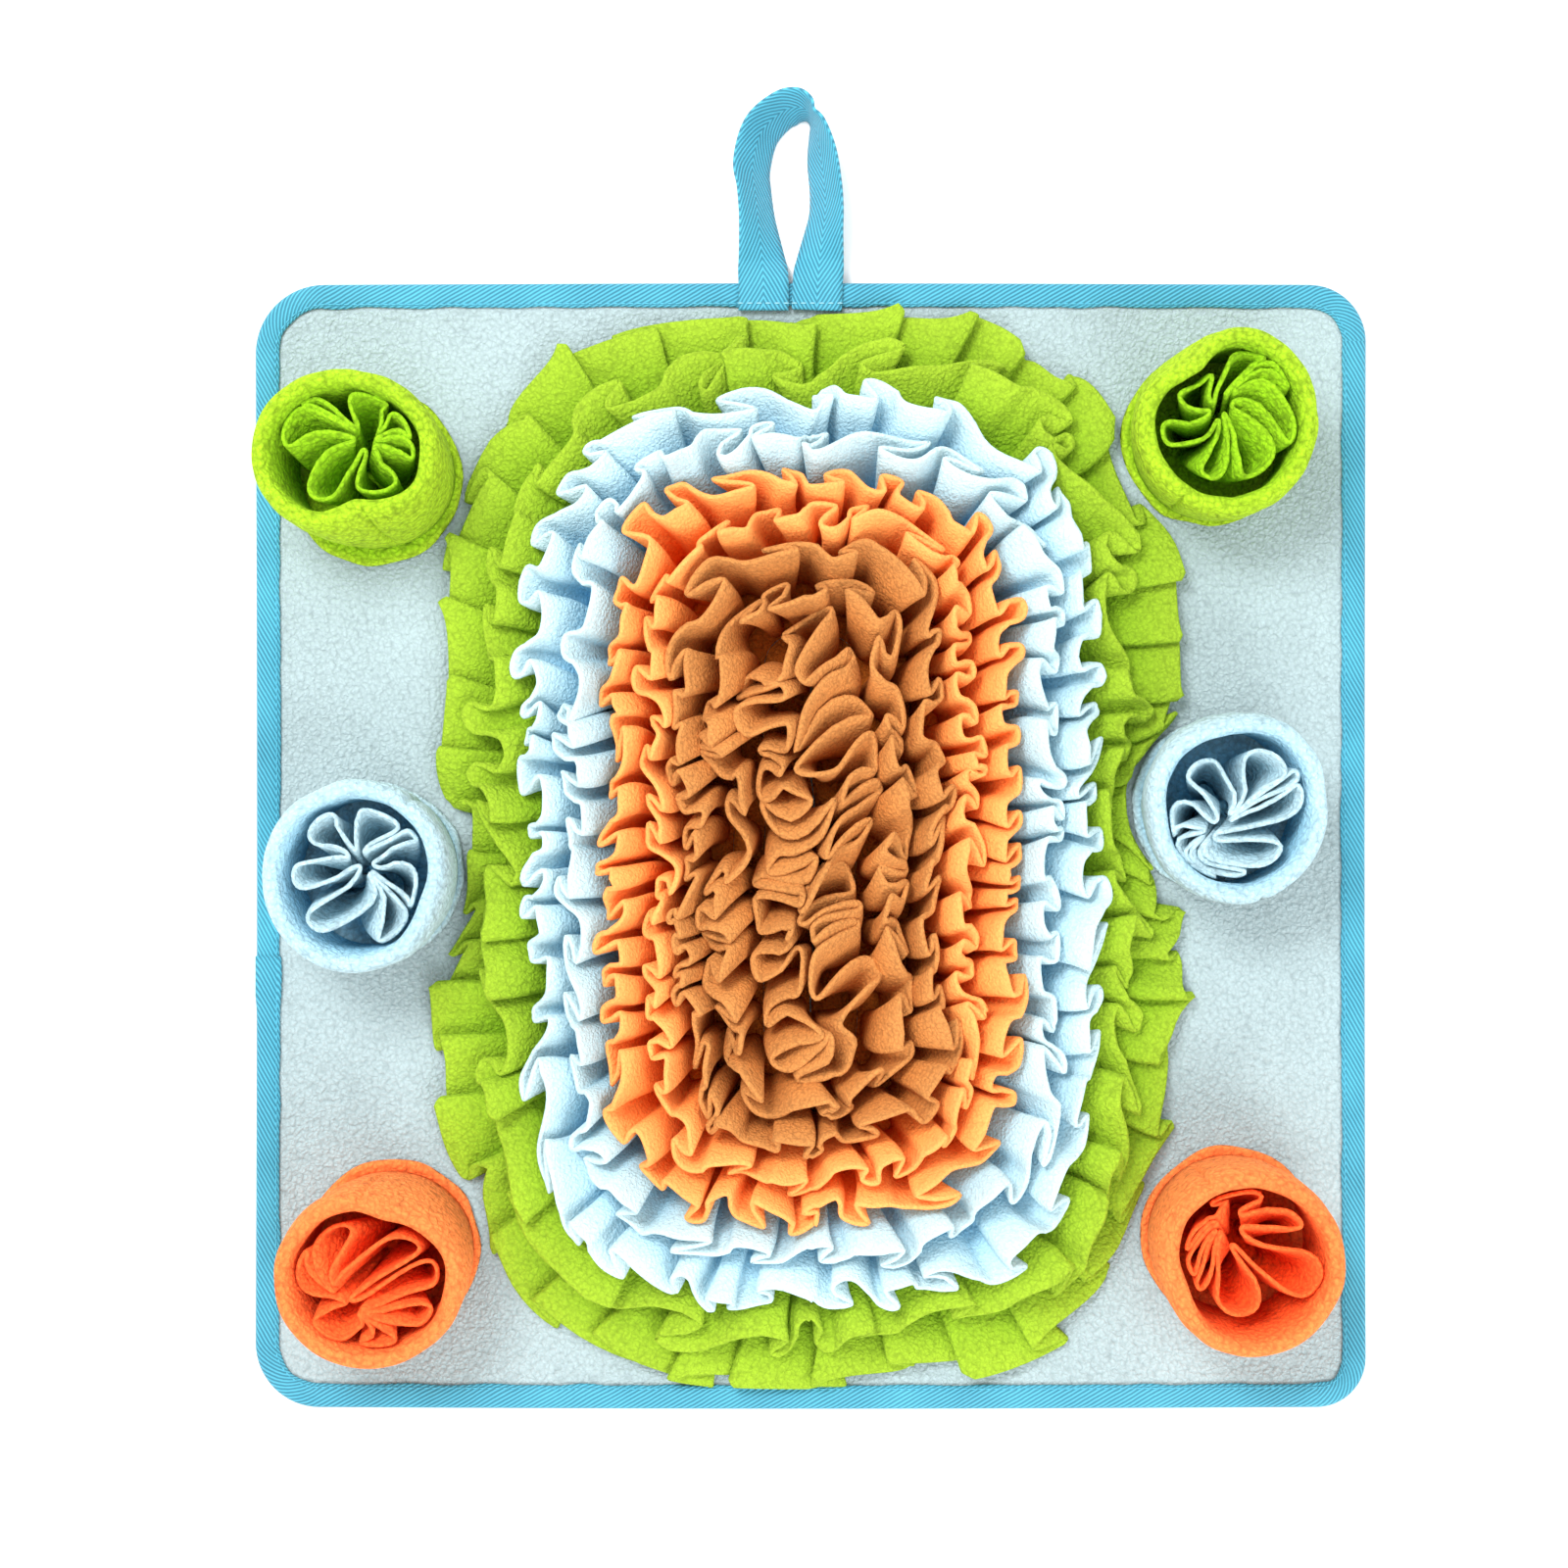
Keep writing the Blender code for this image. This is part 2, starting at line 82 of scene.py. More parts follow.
def pad_outline(corner_steps, edge_steps):
    """Points round the bound pad, anticlockwise from the right edge's end, with outward directions."""
    points, outward = [], []
    for index, corner in enumerate(PAD_CORNERS):
        centre = np.array([
            corner.x_side * (PAD_WIDTH / 2 - corner.radius),
            corner.y_side * (PAD_LENGTH / 2 - corner.radius),
        ])
        for angle in np.linspace(index * math.pi / 2, (index + 1) * math.pi / 2, corner_steps + 1):
            normal = np.array([math.cos(angle), math.sin(angle)])
            points.append(centre + corner.radius * normal)
            outward.append(normal)
        following = PAD_CORNERS[(index + 1) % 4]
        start = points[-1]
        end = np.array([
            following.x_side * (PAD_WIDTH / 2 - following.radius),
            following.y_side * (PAD_LENGTH / 2 - following.radius),
        ]) + following.radius * outward[-1]
        for share in np.linspace(0, 1, edge_steps + 2)[1:-1]:
            bow = EDGE_BOWS[index] * math.sin(math.pi * share)
            points.append(start + share * (end - start) + bow * outward[-1])
            outward.append(outward[-1])
    return np.array(points), np.array(outward)


def soft_noise(x, y, size, seed):
    """A smooth wave over the plane, about -1 to 1, whose bumps are roughly size across."""
    random = np.random.RandomState(seed)
    total = np.zeros(np.broadcast(x, y).shape)
    for _ in range(7):
        heading = random.uniform(0, 2 * math.pi)
        pitch = size * random.uniform(0.7, 1.6)
        phase = random.uniform(0, 2 * math.pi)
        total += np.sin(2 * math.pi * (x * math.cos(heading) + y * math.sin(heading)) / pitch + phase)
    return total / 3.2


def ring_mesh(name, rows, closed_profile, uv_rows=None):
    """A mesh of quads through rows of points, in millimetres, that each run round a closed ring."""
    rows = np.array(rows)
    count_rows, count = rows.shape[:2]
    last = count_rows if closed_profile else count_rows - 1
    row, column = np.meshgrid(np.arange(last), np.arange(count), indexing="ij")
    next_row, next_column = (row + 1) % count_rows, (column + 1) % count
    corners = (row, column), (row, next_column), (next_row, next_column), (next_row, column)
    faces = np.stack([across * count + along for across, along in corners], axis=-1)
    mesh = bpy.data.meshes.new(name)
    mesh.from_pydata((rows.reshape(-1, 3) * MM).tolist(), [], faces.reshape(-1, 4).tolist())
    if uv_rows is not None:
        write_uv(mesh, row, column, uv_rows)
    return mesh


def write_uv(mesh, row, column, uv_rows):
    """Lays out u, the distance along, and v, the distance across, in millimetres."""
    along, across = uv_rows
    u = np.stack([along[column], along[column + 1], along[column + 1], along[column]], axis=-1)
    v = np.stack([across[row], across[row], across[row + 1], across[row + 1]], axis=-1)
    layer = mesh.uv_layers.new(name="tape_uv")
    layer.data.foreach_set("uv", np.stack([u, v], axis=-1).astype(np.float32).ravel())


def close_ends(mesh):
    """Closes the open rings at a mesh's first and last rows."""
    shell = bmesh.new()
    shell.from_mesh(mesh)
    bmesh.ops.holes_fill(shell, edges=[e for e in shell.edges if e.is_boundary])
    shell.to_mesh(mesh)
    shell.free()


def finished(name, mesh, material):
    """Makes the object, turns its faces outwards and gives it its material."""
    shell = bmesh.new()
    shell.from_mesh(mesh)
    bmesh.ops.recalc_face_normals(shell, faces=shell.faces)
    shell.to_mesh(mesh)
    shell.free()
    mesh.materials.append(material)
    mesh.shade_smooth()
    obj = bpy.data.objects.new(name, mesh)
    bpy.context.scene.collection.objects.link(obj)
    return obj


def node(tree, kind, **settings):
    """Adds a shader node and sets its properties and its inputs."""
    made = tree.nodes.new(kind)
    for key, value in settings.items():
        if key in made.inputs:
            made.inputs[key].default_value = value
        else:
            setattr(made, key, value)
    return made


def noise(tree, where, scale, roughness=0.5):
    """Noise with scale waves a metre, and finer ones on them."""
    made = node(tree, "ShaderNodeTexNoise", Scale=scale, Detail=2.0, Roughness=roughness)
    tree.links.new(where, made.inputs["Vector"])
    return made.outputs["Fac"]


def math_node(tree, operation, first, second):
    """Arithmetic on two values, each a number or another node's output."""
    made = node(tree, "ShaderNodeMath", operation=operation)
    for slot, value in zip(made.inputs, (first, second)):
        if isinstance(value, (int, float)):
            slot.default_value = value
        else:
            tree.links.new(value, slot)
    return made.outputs[0]


FLEECE_ROUGHNESS = 0.92
FLEECE_SHINE = 0.18
SHEEN_ROUGHNESS = 0.45
CURL_SCALE = 1000.0
STIR_SCALE = 700.0
STIR_REACH = 1.6
FIBRE_SCALE = 3200.0
FIBRE_SHARE = 0.5
FIBRE_HEIGHT = 0.3
DRIFT_SCALE = 26.0
DRIFT_SHARE = 0.25


def fleece(name, painted_shade, light, curl_size, curl_depth, nap, sheen):
    """Brushed fleece: curls of nap about curl_size millimetres across, darker between them.

    Its colour goes from painted_shade, painted shade down at the seam, to light, the lit colour at the
    free edge, by the rise attribute; nap is how strongly the curls and their painted shade show.
    """
    material = bpy.data.materials.new(name)
    material.use_nodes = True
    tree = material.node_tree
    shader = tree.nodes["Principled BSDF"]
    where = node(tree, "ShaderNodeTexCoord").outputs["Object"]
    stirred = node(tree, "ShaderNodeVectorMath", operation="MULTIPLY_ADD")
    stir = node(tree, "ShaderNodeTexNoise", Scale=STIR_SCALE / curl_size)
    tree.links.new(where, stir.inputs["Vector"])
    tree.links.new(stir.outputs["Color"], stirred.inputs[0])
    stirred.inputs[1].default_value = [STIR_REACH * curl_size * MM] * 3
    tree.links.new(where, stirred.inputs[2])
    # Curls are bright cells with painted shade at their borders, in the hollows between curls; they also
    # give the bump its relief.
    cells = node(tree, "ShaderNodeTexVoronoi", Scale=CURL_SCALE / curl_size)
    tree.links.new(stirred.outputs[0], cells.inputs["Vector"])
    curls = math_node(tree, "SUBTRACT", 0.5, cells.outputs["Distance"])
    fibres = math_node(tree, "SUBTRACT", noise(tree, where, FIBRE_SCALE, 0.6), 0.5)
    drift = math_node(tree, "SUBTRACT", noise(tree, where, DRIFT_SCALE), 0.5)
    # The cloth's brightness: painted shade between the curls, with the fibres' and the drift's own tone.
    value = 1.0
    for part, share in ((curls, nap), (fibres, FIBRE_SHARE * nap), (drift, DRIFT_SHARE)):
        value = math_node(tree, "ADD", math_node(tree, "MULTIPLY", part, share), value)
    # The colour runs from the painted shade to the lit colour by the rise attribute.
    colour = node(tree, "ShaderNodeMix", data_type="RGBA")
    colour.inputs[6].default_value = (*painted_shade, 1.0)
    colour.inputs[7].default_value = (*light, 1.0)
    rise = node(tree, "ShaderNodeAttribute", attribute_name="rise")
    tree.links.new(rise.outputs["Fac"], colour.inputs[0])
    curl_shade_and_tone = node(tree, "ShaderNodeHueSaturation")
    tree.links.new(value, curl_shade_and_tone.inputs["Value"])
    tree.links.new(colour.outputs[2], curl_shade_and_tone.inputs["Color"])
    tree.links.new(curl_shade_and_tone.outputs[0], shader.inputs["Base Color"])
    height = math_node(tree, "ADD", curls, math_node(tree, "MULTIPLY", fibres, FIBRE_HEIGHT))
    bump = node(tree, "ShaderNodeBump", Strength=1.0, Distance=curl_depth * MM)
    tree.links.new(height, bump.inputs["Height"])
    tree.links.new(bump.outputs[0], shader.inputs["Normal"])
    shader.inputs["Roughness"].default_value = FLEECE_ROUGHNESS
    shader.inputs["Specular IOR Level"].default_value = FLEECE_SHINE
    shader.inputs["Sheen Weight"].default_value = sheen
    shader.inputs["Sheen Roughness"].default_value = SHEEN_ROUGHNESS
    shader.inputs["Sheen Tint"].default_value = (*light, 1.0)
    return material


def make_pad():
    edge, outward = pad_outline(14, 34)
    puckers = soft_noise(edge[:, 0], edge[:, 1], PUCKER_PITCH, seed=41)
    rows = []
    for ring in PAD_EDGE:
        flat = edge - ring.inset * outward
        waves = ring.ripple * (0.5 * soft_noise(flat[:, 0], flat[:, 1], 60.0, seed=42) + 0.5 * puckers)
        rows.append(np.column_stack([flat, ring.height + waves]))
    inner = rows[-1][:, :2]
    for share in np.linspace(1, 0, PAD_ROWS)[1:-1]:
        flat = inner * share
        ripple = PAD_RIPPLE * soft_noise(flat[:, 0], flat[:, 1], 55.0, seed=43)
        rows.append(np.column_stack([flat, PAD_EDGE[-1].height + ripple]))
    mesh = ring_mesh("pad_fleece_panel", rows, closed_profile=False)
    close_ends(mesh)
    pale_blue = (0.36, 0.455, 0.475)
    # The pad is one colour, with painted shade between its curls.
    material = fleece("pad_fleece", pale_blue, pale_blue, 1.7, 0.8, 0.42, 0.12)
    panel = finished("pad_panel", mesh, material)
    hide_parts("pad")
    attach(panel, "root")


make_pad()


# --- The edge binding -------------------------------------------------
# Mid-blue twill tape 20 mm wide, folded over the pad's edge and sewn through near its inner edge.
# Its ribs run slantwise. The two ends overlap on the left edge.

JOIN_Y = -44.6
LAP_LENGTH = 22.0
LAP_RISE = 0.6
LAP_SLOPE = 6.0
Point = namedtuple("Point", "inset height")
TAPE_OUTSIDE = (
    Point(BINDING_REACH, 0.0), Point(6.0, 0.0), Point(2.0, 0.0), Point(0.6, 0.5), Point(0.0, 1.5),
    Point(0.0, TAPE_TOP - 1.5), Point(0.6, TAPE_TOP - 0.5), Point(2.0, TAPE_TOP),
    Point(6.0, TAPE_TOP), Point(BINDING_REACH - 2.0, TAPE_TOP),
    Point(BINDING_REACH - 1.3, TAPE_TOP - 0.35), Point(BINDING_REACH - 0.7, TAPE_TOP - 0.05),
    Point(BINDING_REACH, TAPE_TOP - 0.5),
)
INNER_TOP = TAPE_TOP - TAPE_THICKNESS
TAPE_INSIDE = (
    Point(BINDING_REACH, INNER_TOP), Point(6.0, INNER_TOP), Point(2.4, INNER_TOP),
    Point(1.4, INNER_TOP - 0.7), Point(1.4, TAPE_THICKNESS + 0.7), Point(2.4, TAPE_THICKNESS),
    Point(6.0, TAPE_THICKNESS), Point(BINDING_REACH, TAPE_THICKNESS),
)
TWILL_PITCH = 1.7
RIB_SLOPE = -0.58
RIB_STRAY = 0.35
RIB_HEIGHT = 0.35
THREAD_HEIGHT = 0.35
RIB_SHADE = 0.72
DRIFT_SHADE = 0.38
# Painted shade for the ribs' hollows and painted light for their crests.
TWILL_HOLLOW_SHADE = (0.001, 0.09, 0.15, 1.0)
TWILL_CREST_LIT = (0.08, 0.44, 0.60, 1.0)
TWILL_ROUGHNESS = 0.62
TWILL_SHINE = 0.35
TWILL_SHEEN = 0.15


def twill(name, herringbone):
    """Woven tape: slanting ribs, which turn back at the middle of a herringbone tape."""
    material = bpy.data.materials.new(name)
    material.use_nodes = True
    tree = material.node_tree
    shader = tree.nodes["Principled BSDF"]
    uv = node(tree, "ShaderNodeUVMap", uv_map="tape_uv").outputs[0]
    parts = node(tree, "ShaderNodeSeparateXYZ")
    tree.links.new(uv, parts.inputs[0])
    across = parts.outputs["Y"]
    if herringbone:
        across = math_node(tree, "PINGPONG", across, TAPE_WIDTH / 2)
    where = node(tree, "ShaderNodeTexCoord").outputs["Object"]
    slant = math_node(tree, "ADD", math_node(tree, "MULTIPLY", parts.outputs["X"], RIB_SLOPE), across)
    stray = math_node(tree, "MULTIPLY", noise(tree, where, 320.0), RIB_STRAY)
    slant = math_node(tree, "ADD", slant, stray)
    turn = math_node(tree, "MULTIPLY", slant, 2 * math.pi / TWILL_PITCH)
    half_wave = math_node(tree, "MULTIPLY", math_node(tree, "SINE", turn, 0.0), 0.5)
    rib = math_node(tree, "ADD", half_wave, 0.5)
    threads = math_node(tree, "MULTIPLY", noise(tree, where, 1500.0), THREAD_HEIGHT)
    height = math_node(tree, "ADD", rib, threads)
    drift = math_node(tree, "MULTIPLY", noise(tree, where, 40.0), DRIFT_SHADE)
    mixed = math_node(tree, "ADD", math_node(tree, "MULTIPLY", rib, RIB_SHADE), drift)
    # The rib hollows are painted darker, painted shade, and the crests lighter, painted light; the drift
    # is the tape's own uneven tone.
    colour = node(tree, "ShaderNodeMix", data_type="RGBA")
    colour.inputs[6].default_value = TWILL_HOLLOW_SHADE
    colour.inputs[7].default_value = TWILL_CREST_LIT
    tree.links.new(mixed, colour.inputs[0])
    tree.links.new(colour.outputs[2], shader.inputs["Base Color"])
    bump = node(tree, "ShaderNodeBump", Strength=0.8, Distance=RIB_HEIGHT * MM)
    tree.links.new(height, bump.inputs["Height"])
    tree.links.new(bump.outputs[0], shader.inputs["Normal"])
    shader.inputs["Roughness"].default_value = TWILL_ROUGHNESS
    shader.inputs["Specular IOR Level"].default_value = TWILL_SHINE
    shader.inputs["Sheen Weight"].default_value = TWILL_SHEEN
    return material


def with_join(edge, outward):
    """Adds close pairs of points where the upper end of the tape is cut, on the left edge."""
    passed = (edge[:, 1] > JOIN_Y) & (np.roll(edge[:, 1], -1) <= JOIN_Y)
    cut = np.nonzero(passed & (edge[:, 0] < 0))[0][0]
    share = (edge[cut, 1] - JOIN_Y) / (edge[cut, 1] - edge[cut + 1, 1])
    step = edge[cut + 1] - edge[cut]
    close = [edge[cut] + (share + shift) * step for shift in (-0.03, 0.03)]
    edge = np.insert(edge, [cut + 1] * 2, close, axis=0)
    outward = np.insert(outward, [cut + 1] * 2, [outward[cut]] * 2, axis=0)
    return edge, outward, cut + 2


def make_binding():
    edge, outward, join = with_join(*pad_outline(16, 90))
    below = np.where((edge[:, 0] < 0) & (np.arange(len(edge)) >= join), JOIN_Y - edge[:, 1], -1.0)
    lap = LAP_RISE * np.where(below >= -0.5, np.clip((LAP_LENGTH - below) / LAP_SLOPE, 0, 1), 0.0)
    wobble = 0.35 * soft_noise(edge[:, 0], edge[:, 1], 22.0, seed=51)
    swell = 0.12 * soft_noise(edge[:, 0], edge[:, 1], 9.0, seed=52)
    profile = TAPE_OUTSIDE + TAPE_INSIDE
    rows = []
    for inset, height in profile:
        upper = height > TAPE_THICKNESS
        widened = lap * (inset < 1.0) - lap * (inset > BINDING_REACH - 1.0)
        flat = edge - (inset + wobble * (inset / BINDING_REACH) * upper - widened)[:, None] * outward
        rows.append(np.column_stack([flat, height + (swell + lap) * (height > TAPE_TOP - 0.7)]))
    steps = np.linalg.norm(np.diff(np.vstack([edge, edge[:1]]), axis=0), axis=1)
    steps[join - 1] += 0.4 * TWILL_PITCH
    along = np.concatenate([[0], np.cumsum(steps)])
    corners = np.array(profile + profile[:1])
    across = np.concatenate([[0], np.cumsum(np.linalg.norm(np.diff(corners, axis=0), axis=1))])
    mesh = ring_mesh("binding_tape", rows, closed_profile=True, uv_rows=(along, across))
    tape = finished("binding_tape", mesh, twill("binding_twill", herringbone=False))
    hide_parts("binding")
    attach(tape, "root")


make_binding()


# --- The sewing along the binding -------------------------------------
# One row of stitches holds the binding to the pad, close to the tape's inner edge, in thread of the
# tape's own blue. Each stitch is a short bead laid in the groove that the row presses in the tape.

STITCH_PITCH = 3.2
STITCH_LENGTH = 0.78 * STITCH_PITCH
THREAD_RADIUS = 0.32
THREAD_ROUGHNESS = 0.55
STITCH_INSET = BINDING_REACH - 1.3
STITCH_SINK = 0.02


def stitch_nodes(thread):
    """A node group that lays short stitches along a line of edges."""
    tree = bpy.data.node_groups.new("stitches", "GeometryNodeTree")
    tree.interface.new_socket("Geometry", in_out="INPUT", socket_type="NodeSocketGeometry")
    for label in ("Pitch", "Stitch length", "Thread radius"):
        tree.interface.new_socket(label, in_out="INPUT", socket_type="NodeSocketFloat")
    tree.interface.new_socket("Geometry", in_out="OUTPUT", socket_type="NodeSocketGeometry")
    given = tree.nodes.new("NodeGroupInput")
    curve = tree.nodes.new("GeometryNodeMeshToCurve")
    spaced = tree.nodes.new("GeometryNodeResampleCurve")
    spaced.mode = "LENGTH"
    tangent = tree.nodes.new("GeometryNodeInputTangent")
    turned = tree.nodes.new("FunctionNodeAlignRotationToVector")
    turned.axis = "X"
    bead = tree.nodes.new("GeometryNodeMeshUVSphere")
    bead.inputs["Segments"].default_value = 8
    bead.inputs["Rings"].default_value = 6
    bead.inputs["Radius"].default_value = 1.0
    size = tree.nodes.new("ShaderNodeCombineXYZ")
    half = tree.nodes.new("ShaderNodeMath")
    half.operation = "MULTIPLY"
    half.inputs[1].default_value = 0.5
    placed = tree.nodes.new("GeometryNodeInstanceOnPoints")
    real = tree.nodes.new("GeometryNodeRealizeInstances")
    dyed = tree.nodes.new("GeometryNodeSetMaterial")
    dyed.inputs["Material"].default_value = thread
    out = tree.nodes.new("NodeGroupOutput")
    for start, end in (
        (given.outputs["Geometry"], curve.inputs["Mesh"]),
        (curve.outputs["Curve"], spaced.inputs["Curve"]),
        (given.outputs["Pitch"], spaced.inputs["Length"]),
        (spaced.outputs["Curve"], placed.inputs["Points"]),
        (tangent.outputs["Tangent"], turned.inputs["Vector"]),
        (turned.outputs["Rotation"], placed.inputs["Rotation"]),
        (bead.outputs["Mesh"], placed.inputs["Instance"]),
        (given.outputs["Stitch length"], half.inputs[0]),
        (half.outputs[0], size.inputs["X"]),
        (given.outputs["Thread radius"], size.inputs["Y"]),
        (given.outputs["Thread radius"], size.inputs["Z"]),
        (size.outputs[0], placed.inputs["Scale"]),
        (placed.outputs["Instances"], real.inputs["Geometry"]),
        (real.outputs["Geometry"], dyed.inputs["Geometry"]),
        (dyed.outputs["Geometry"], out.inputs["Geometry"]),
    ):
        tree.links.new(start, end)
    return tree


def make_stitches(name, lines, thread):
    """Sews along lines of points, given in millimetres, and keeps only the plain mesh."""
    points, edges = [], []
    for line in lines:
        edges += [(len(points) + i, len(points) + i + 1) for i in range(len(line) - 1)]
        points += (np.array(line) * MM).tolist()
    path = bpy.data.meshes.new(name + "_path")
    path.from_pydata(points, edges, [])
    sewing = bpy.data.objects.new(name, path)
    bpy.context.scene.collection.objects.link(sewing)
    tree = stitch_nodes(thread)
    modifier = sewing.modifiers.new("stitches", "NODES")
    modifier.node_group = tree
    sizes = {"Pitch": STITCH_PITCH, "Stitch length": STITCH_LENGTH, "Thread radius": THREAD_RADIUS}
    for socket in tree.interface.items_tree:
        if socket.in_out == "INPUT" and socket.name in sizes:
            modifier[socket.identifier] = sizes[socket.name] * MM
    bpy.context.view_layer.update()
    ready = sewing.evaluated_get(bpy.context.evaluated_depsgraph_get())
    mesh = bpy.data.meshes.new_from_object(ready)
    sewing.modifiers.remove(modifier)
    sewing.data = mesh
    if not mesh.materials:
        mesh.materials.append(thread)
    mesh.shade_smooth()
    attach(sewing, "root")


def dyed_thread(name, colour):
    """Plain thread of one colour."""
    material = bpy.data.materials.new(name)
    material.use_nodes = True
    shader = material.node_tree.nodes["Principled BSDF"]
    shader.inputs["Base Color"].default_value = (*colour, 1.0)
    shader.inputs["Roughness"].default_value = THREAD_ROUGHNESS
    return material


def sew_binding():
    edge, outward = pad_outline(16, 90)
    seam = edge - STITCH_INSET * outward
    seam = np.vstack([seam, seam[:1]])
    line = np.column_stack([seam, np.full(len(seam), TAPE_TOP - STITCH_SINK)])
    thread = dyed_thread("binding_thread", (0.07, 0.38, 0.52))
    make_stitches("binding_stitches", [line], thread)


sew_binding()


# --- The frills -------------------------------------------------------
# Long fleece strips about 42 mm wide, gathered along one edge and sewn to the pad in an oval: two
# green, two light blue and two orange, and three brown ones that fill the middle. Each flops
# outwards over the next like a row of shingles, and its free edge runs in pleats and hooked loops.

SPINE_HALF = 67.0
PAD_TOP = PAD_THICKNESS + 0.3
FRILL_CLOTH = 2.1
SEAM_CLOTH = 0.6
SEAM_STEPS = 240
SWAY_RADIUS = 80.0
WEAVE_LENGTH = 58.0
Guide = namedtuple("Guide", "root root_z bend bend_z tip tip_z sway weave seed")
GUIDES = {
    "floor": Guide(112.0, PAD_TOP, 130.0, PAD_TOP, 149.0, PAD_TOP, 1.6, 0.0, 1),
    "green_green": Guide(103.0, 6.3, 111.0, 13.5, 144.0, 12.5, 1.6, 0.0, 1),
    "green_blue": Guide(91.0, PAD_TOP, 101.0, 17.0, 123.0, 24.0, 2.2, 0.0, 2),
    "blue_blue": Guide(79.0, PAD_TOP, 88.0, 21.0, 105.5, 33.0, 2.6, 0.0, 3),
    "blue_orange": Guide(67.0, PAD_TOP, 74.5, 25.0, 88.5, 38.5, 2.4, 0.0, 4),
    "orange_orange": Guide(55.0, PAD_TOP, 60.5, 29.0, 72.5, 42.0, 2.2, 0.0, 5),
    "orange_brown": Guide(43.0, PAD_TOP, 47.0, 31.0, 58.0, 44.5, 1.8, 0.0, 6),
    "brown_brown": Guide(31.0, PAD_TOP, 34.0, 33.0, 44.0, 45.5, 2.2, 1.0, 7),
    "brown_heart": Guide(19.0, PAD_TOP, 21.0, 34.0, 29.0, 46.5, 1.8, 3.0, 8),
    "spine": Guide(0.2, PAD_TOP, 0.5, 30.0, 0.6, 47.0, 0.0, 8.0, 10),
}
Cup = namedtuple("Cup", "name x y rim_x rim_y lean_x lean_y dent_angle dent folds seed")
CUPS = (
    Cup("green_left", -176.0, 149.0, 37.5, 34.0, -6.0, 5.0, -75.0, 5.0, 7, 11),
    Cup("blue_left", -175.0, -10.0, 37.5, 38.5, -2.5, -1.0, -20.0, 2.0, 7, 12),
    Cup("orange_left", -169.0, -162.0, 38.0, 36.0, -3.5, -5.5, 70.0, 3.0, 7, 13),
    Cup("green_right", 161.0, 165.0, 36.5, 38.5, 0.5, 2.0, 125.0, 6.0, 7, 14),
    Cup("blue_right", 165.0, 16.0, 36.0, 39.5, 0.5, 1.0, 100.0, 3.0, 8, 15),
    Cup("orange_right", 169.0, -157.0, 38.0, 37.5, 1.5, -4.5, 200.0, 3.0, 7, 16),
)
CUP_KEEP_OUT = 37.7
CROWD_END = 62.0
CORNER_FILL = 0.11


def on_oval(distance, radius):
    """Where a distance round the oval lies: its centre on the spine, and its angle."""
    straight = 2 * SPINE_HALF
    arc = math.pi * radius
    d = np.mod(distance, 2 * straight + 2 * arc)
    places = [d < straight, d < straight + arc, d < 2 * straight + arc]
    back = SPINE_HALF - (d - straight - arc)
    centre = np.select(places, [d - SPINE_HALF, SPINE_HALF, back], -SPINE_HALF)
    turned = (d - 2 * straight - arc) / radius
    angle = np.select(places, [0.0, (d - straight) / radius, math.pi], math.pi + turned)
    return centre, angle


def round_oval(radius):
    """The length of an oval's way round."""
    return 4 * SPINE_HALF + 2 * math.pi * radius


def wander(centre, angle, seed):
    """A slow wave from -1 to 1 round the oval."""
    side = np.where(np.cos(angle) >= 0, 1.0, -1.0)
    round_it = SWAY_RADIUS * angle + side * centre
    phases = np.random.RandomState(seed).uniform(0, 2 * math.pi, 3)
    return sum(
        weight * np.sin(2 * math.pi * turns * round_it / round_oval(SWAY_RADIUS) + phase)
        for weight, turns, phase in zip((0.5, 0.3, 0.2), (3, 5, 8), phases)
    )


def filled_out(angle):
    """The factor that squares up the rounded ends of the oval."""
    return 1 + CORNER_FILL * np.sin(2 * angle) ** 2


def crowded(x, y):
    """Moves cloth away from the cups that stand in its way."""
    floor = GUIDES["floor"]
    for cup in CUPS:
        past_spine = max(abs(cup.y) - SPINE_HALF, 0.0)
        frill_end = floor.tip * filled_out(math.atan2(past_spine, cup.x)) + floor.sway
        nearest = min(math.hypot(cup.x, past_spine) - frill_end, CUP_KEEP_OUT)
        away_x, away_y = x - cup.x, y - cup.y
        distance = np.hypot(away_x, away_y)
        crowding = np.clip((CROWD_END - distance) / (CROWD_END - nearest), 0, 1) ** 2
        wanted = np.maximum(distance + (CUP_KEEP_OUT - nearest) * crowding, CUP_KEEP_OUT) / distance
        x, y = cup.x + away_x * wanted, cup.y + away_y * wanted
    return x, y


def bent(start, control, end, share):
    """A value that bends from start to end past a control value."""
    return start * (1 - share) ** 2 + 2 * control * share * (1 - share) + end * share**2


def share_at(guide, radius):
    """The share of a guide's height at which it has spread out to a radius."""
    curve, slope = guide.root - 2 * guide.bend + guide.tip, 2 * (guide.bend - guide.root)
    return (-slope + math.sqrt(slope**2 - 4 * curve * (guide.root - radius))) / (2 * curve)


def guide_points(guide, centre, angle, share):
    """Points of the surface between two frills, at a share of its height."""
    freedom = 0.2 + 0.8 * share
    dying_out = np.cos(0.5 * math.pi * centre / SPINE_HALF)
    swing = np.sin(2 * math.pi * centre / WEAVE_LENGTH) * dying_out * np.cos(angle)
    sway = guide.sway * wander(centre, angle, guide.seed) + guide.weave * swing
    reach = (bent(guide.root, guide.bend, guide.tip, share) + freedom * sway) * filled_out(angle)
    height = bent(guide.root_z, guide.bend_z, guide.tip_z, share)
    x, y = crowded(reach * np.cos(angle), centre + reach * np.sin(angle))
    return np.stack([x, y, height + np.zeros_like(x)], axis=-1)


FOLD_SQUARENESS = 1.5
SLOW_LEAN = 0.28
QUICK_LEAN = 0.2


